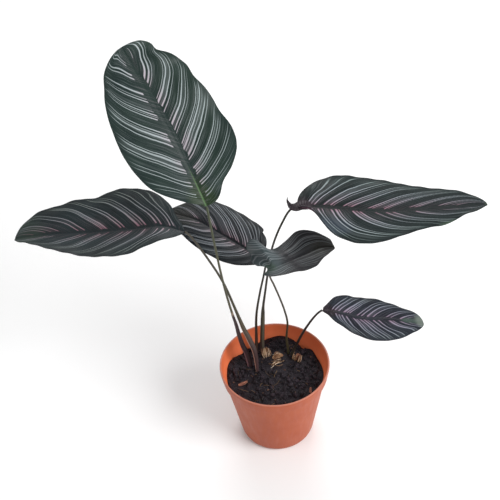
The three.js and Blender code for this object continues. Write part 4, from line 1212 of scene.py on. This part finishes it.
class PLANT_OT_soil(bpy.types.Operator):
    """Builds the soil with its crumbs, fibres and white grains"""
    bl_idname = "plant.make_soil"
    bl_label = "Make soil"

    def execute(self, context):
        settings = context.scene.plant_soil
        draw = random.Random(SEED)
        mix = soil_material(settings)
        finish_piece("soil_bed", shape_soil(), [mix], ["soil"])
        crumbs = shape_crumbs(settings.crumbs, draw, (0.5, settings.crumb_size / MM), 50.5, (0.0, 0.5))
        finish_piece("soil_crumbs", crumbs, [mix], [], False)
        # Composted bark is dull brown and splintery, and perlite is chalk white and pitted.
        bark = grain_material("composted bark bits", ["#33241f", "#4a3228", "#6b4a38"], 0.8)
        bits = shape_crumbs(BARK_BITS, draw, (0.6, 1.5), 49, (0.0, 0.8))
        finish_piece("bark_bits", bits, [bark], [], False)
        white = grain_material("expanded perlite grains", ["#cfcbc4", "#e8e5de"], 0.9)
        grains = shape_crumbs(PERLITE_GRAINS, draw, (0.5, 0.9), 45, (0.3, 0.7), 0.6)
        finish_piece("perlite_grains", grains, [white], [])
        # Dead roots are dull tan threads.
        fibre = grain_material("dry root fibres", ["#33251d", "#4f3b2b", "#7a6146"], 0.8)
        finish_piece("soil_fibres", shape_fibres(ROOT_FIBRES, draw, 48), [fibre], [])
        return {"FINISHED"}


class PLANT_OT_leaves(bpy.types.Operator):
    """Builds the six striped blades"""
    bl_idname = "plant.make_leaves"
    bl_label = "Make leaves"

    def execute(self, context):
        settings = context.scene.plant_leaves
        underside = underside_material("burgundy leaf underside", settings.underside_shade, settings.underside)
        for name in LEAVES:
            materials = [blade_material(name), underside]
            finish_piece("striped_blade_" + name[-1], shape_blade(name), materials, [name + "_blade"])
        # Where the blade folds over, its underside shows, in darker colours than the rest of the underside, nearly
        # black.
        dark = underside_material("dark burgundy folded foot", linear("#160e14")[:3], linear("#2a1e27")[:3])
        finish_piece("folded_blade_foot", shape_fold(), [dark], [])
        return {"FINISHED"}


class PLANT_OT_stalks(bpy.types.Operator):
    """Builds the six leaf stalks with their sheaths"""
    bl_idname = "plant.make_stalks"
    bl_label = "Make stalks"

    def execute(self, context):
        for name in STALKS:
            work = tube(stalk_route(name), *STALK_GRID, STALK_RIBS)
            finish_piece("fleshy_stalk_" + name[-1], work, [stalk_material(name)], [name + "_stalk"])
        return {"FINISHED"}


class PLANT_OT_scraps(bpy.types.Operator):
    """Builds the dry husks, straws, strands and bark chips"""
    bl_idname = "plant.make_scraps"
    bl_label = "Make dry scraps"

    def execute(self, context):
        straw = husk_material("dry curled straw", "#57412f", "#2f2118", "#7c6148")
        tan = husk_material("papery tan husk", "#7c553b", "#38231a", "#b7926c", "place")
        red = husk_material("papery russet husk", "#744635", "#301b15", "#ad8068", "place")
        bark = husk_material("reddish bark", "#7a4a3c", "#38201a", "#a3725c", "place")
        for name in SCRAPS:
            is_bark = name.startswith("bark")
            material = bark if is_bark else red if name == "husk_3" else tan
            finish_piece("dry_" + name, shape_scrap(name), [material], [name])
        for name, route in STRAWS.items():
            finish_piece("curled_" + name, tube(on_soil(route), *STRAW_GRID), [straw], [name])
        # Torn sheath dries to stiff straw, from brown to cream.
        strand = grain_material("dry sheath strands", ["#3f271b", "#7d573d", "#c4a482", "#e6d3bb"], 0.75)
        finish_piece("torn_sheath_strands", shape_strands(), [strand], [])
        return {"FINISHED"}


class PLANT_OT_stage(bpy.types.Operator):
    """Sets up the floor, the light and the camera"""
    bl_idname = "plant.make_stage"
    bl_label = "Make stage"

    def execute(self, context):
        settings = context.scene.plant_stage
        scene = context.scene
        scene.view_settings.view_transform = "Standard"

        # The camera looks down on the plant from the front, as the photograph does.
        back = Vector((0, -math.cos(CAMERA_TILT), math.sin(CAMERA_TILT)))
        upright = Vector((0, math.sin(CAMERA_TILT), math.cos(CAMERA_TILT)))
        rightward = Vector((1, 0, 0))
        across = rightward * math.cos(CAMERA_ROLL) + upright * math.sin(CAMERA_ROLL)
        upward = upright * math.cos(CAMERA_ROLL) - rightward * math.sin(CAMERA_ROLL)
        lens = bpy.data.cameras.new("camera")
        lens.lens, lens.sensor_width = 72, 36
        camera = bpy.data.objects.new("camera", lens)
        place = Vector(CAMERA_AIM) * MM + back * CAMERA_DISTANCE
        camera.matrix_world = Matrix.Translation(place) @ Matrix((across, upward, back)).transposed().to_4x4()
        scene.collection.objects.link(camera)
        scene.camera = camera

        work = bmesh.new()
        bmesh.ops.create_grid(work, x_segments=1, y_segments=1, size=settings.floor_size / 2)
        mesh = bpy.data.meshes.new("floor")
        work.to_mesh(mesh)
        work.free()
        # Matt paint: an even white with no gloss
        material, _, surface = new_material("matt white floor paint", 0.9, 0.2)
        surface.inputs["Base Color"].default_value = [*settings.floor, 1]
        mesh.materials.append(material)
        floor = bpy.data.objects.new("floor", mesh)
        scene.collection.objects.link(floor)

        world = bpy.data.worlds.new("studio")
        scene.world = world
        world.use_nodes = True
        background = world.node_tree.nodes["Background"]
        background.inputs["Color"].default_value = (1, 1, 1, 1)
        background.inputs["Strength"].default_value = settings.daylight
        for name, (spot, size, power) in LAMPS.items():
            light = bpy.data.lights.new(name, "AREA")
            light.shape, light.size, light.energy = "DISK", size, power
            lamp = bpy.data.objects.new(name, light)
            from_plant = Vector(spot) - Vector((0, 0, 0.2))
            lamp.matrix_world = Matrix.Translation(spot) @ from_plant.to_track_quat("Z", "Y").to_matrix().to_4x4()
            scene.collection.objects.link(lamp)
        return {"FINISHED"}


OPERATORS = (PLANT_OT_stage, PLANT_OT_pot, PLANT_OT_soil, PLANT_OT_leaves, PLANT_OT_stalks, PLANT_OT_scraps)
GROUPS = {
    "plant_pot": PotSettings, "plant_soil": SoilSettings, "plant_leaves": LeafSettings, "plant_stage": StageSettings,
}


class PLANT_PT_panel(bpy.types.Panel):
    """Lists the plant's settings and the operators that build it"""
    bl_idname = "PLANT_PT_panel"
    bl_label = "Potted plant"
    bl_space_type = "VIEW_3D"
    bl_region_type = "UI"
    bl_category = "Plant"

    def draw(self, context):
        for key, group in GROUPS.items():
            box = self.layout.box()
            for prop in group.__annotations__:
                box.prop(getattr(context.scene, key), prop)
        for operator in OPERATORS:
            self.layout.operator(operator.bl_idname)


def register():
    for item in (*GROUPS.values(), *OPERATORS, PLANT_PT_panel):
        bpy.utils.register_class(item)
    for key, group in GROUPS.items():
        setattr(bpy.types.Scene, key, bpy.props.PointerProperty(type=group))


def unregister():
    for key in GROUPS:
        delattr(bpy.types.Scene, key)
    for item in (PLANT_PT_panel, *reversed(OPERATORS), *GROUPS.values()):
        bpy.utils.unregister_class(item)


def main():
    register()
    bpy.ops.plant.make_stage()
    bpy.ops.plant.make_pot()
    bpy.ops.plant.make_soil()
    bpy.ops.plant.make_leaves()
    bpy.ops.plant.make_stalks()
    bpy.ops.plant.make_scraps()


if __name__ == "__main__":
    main()
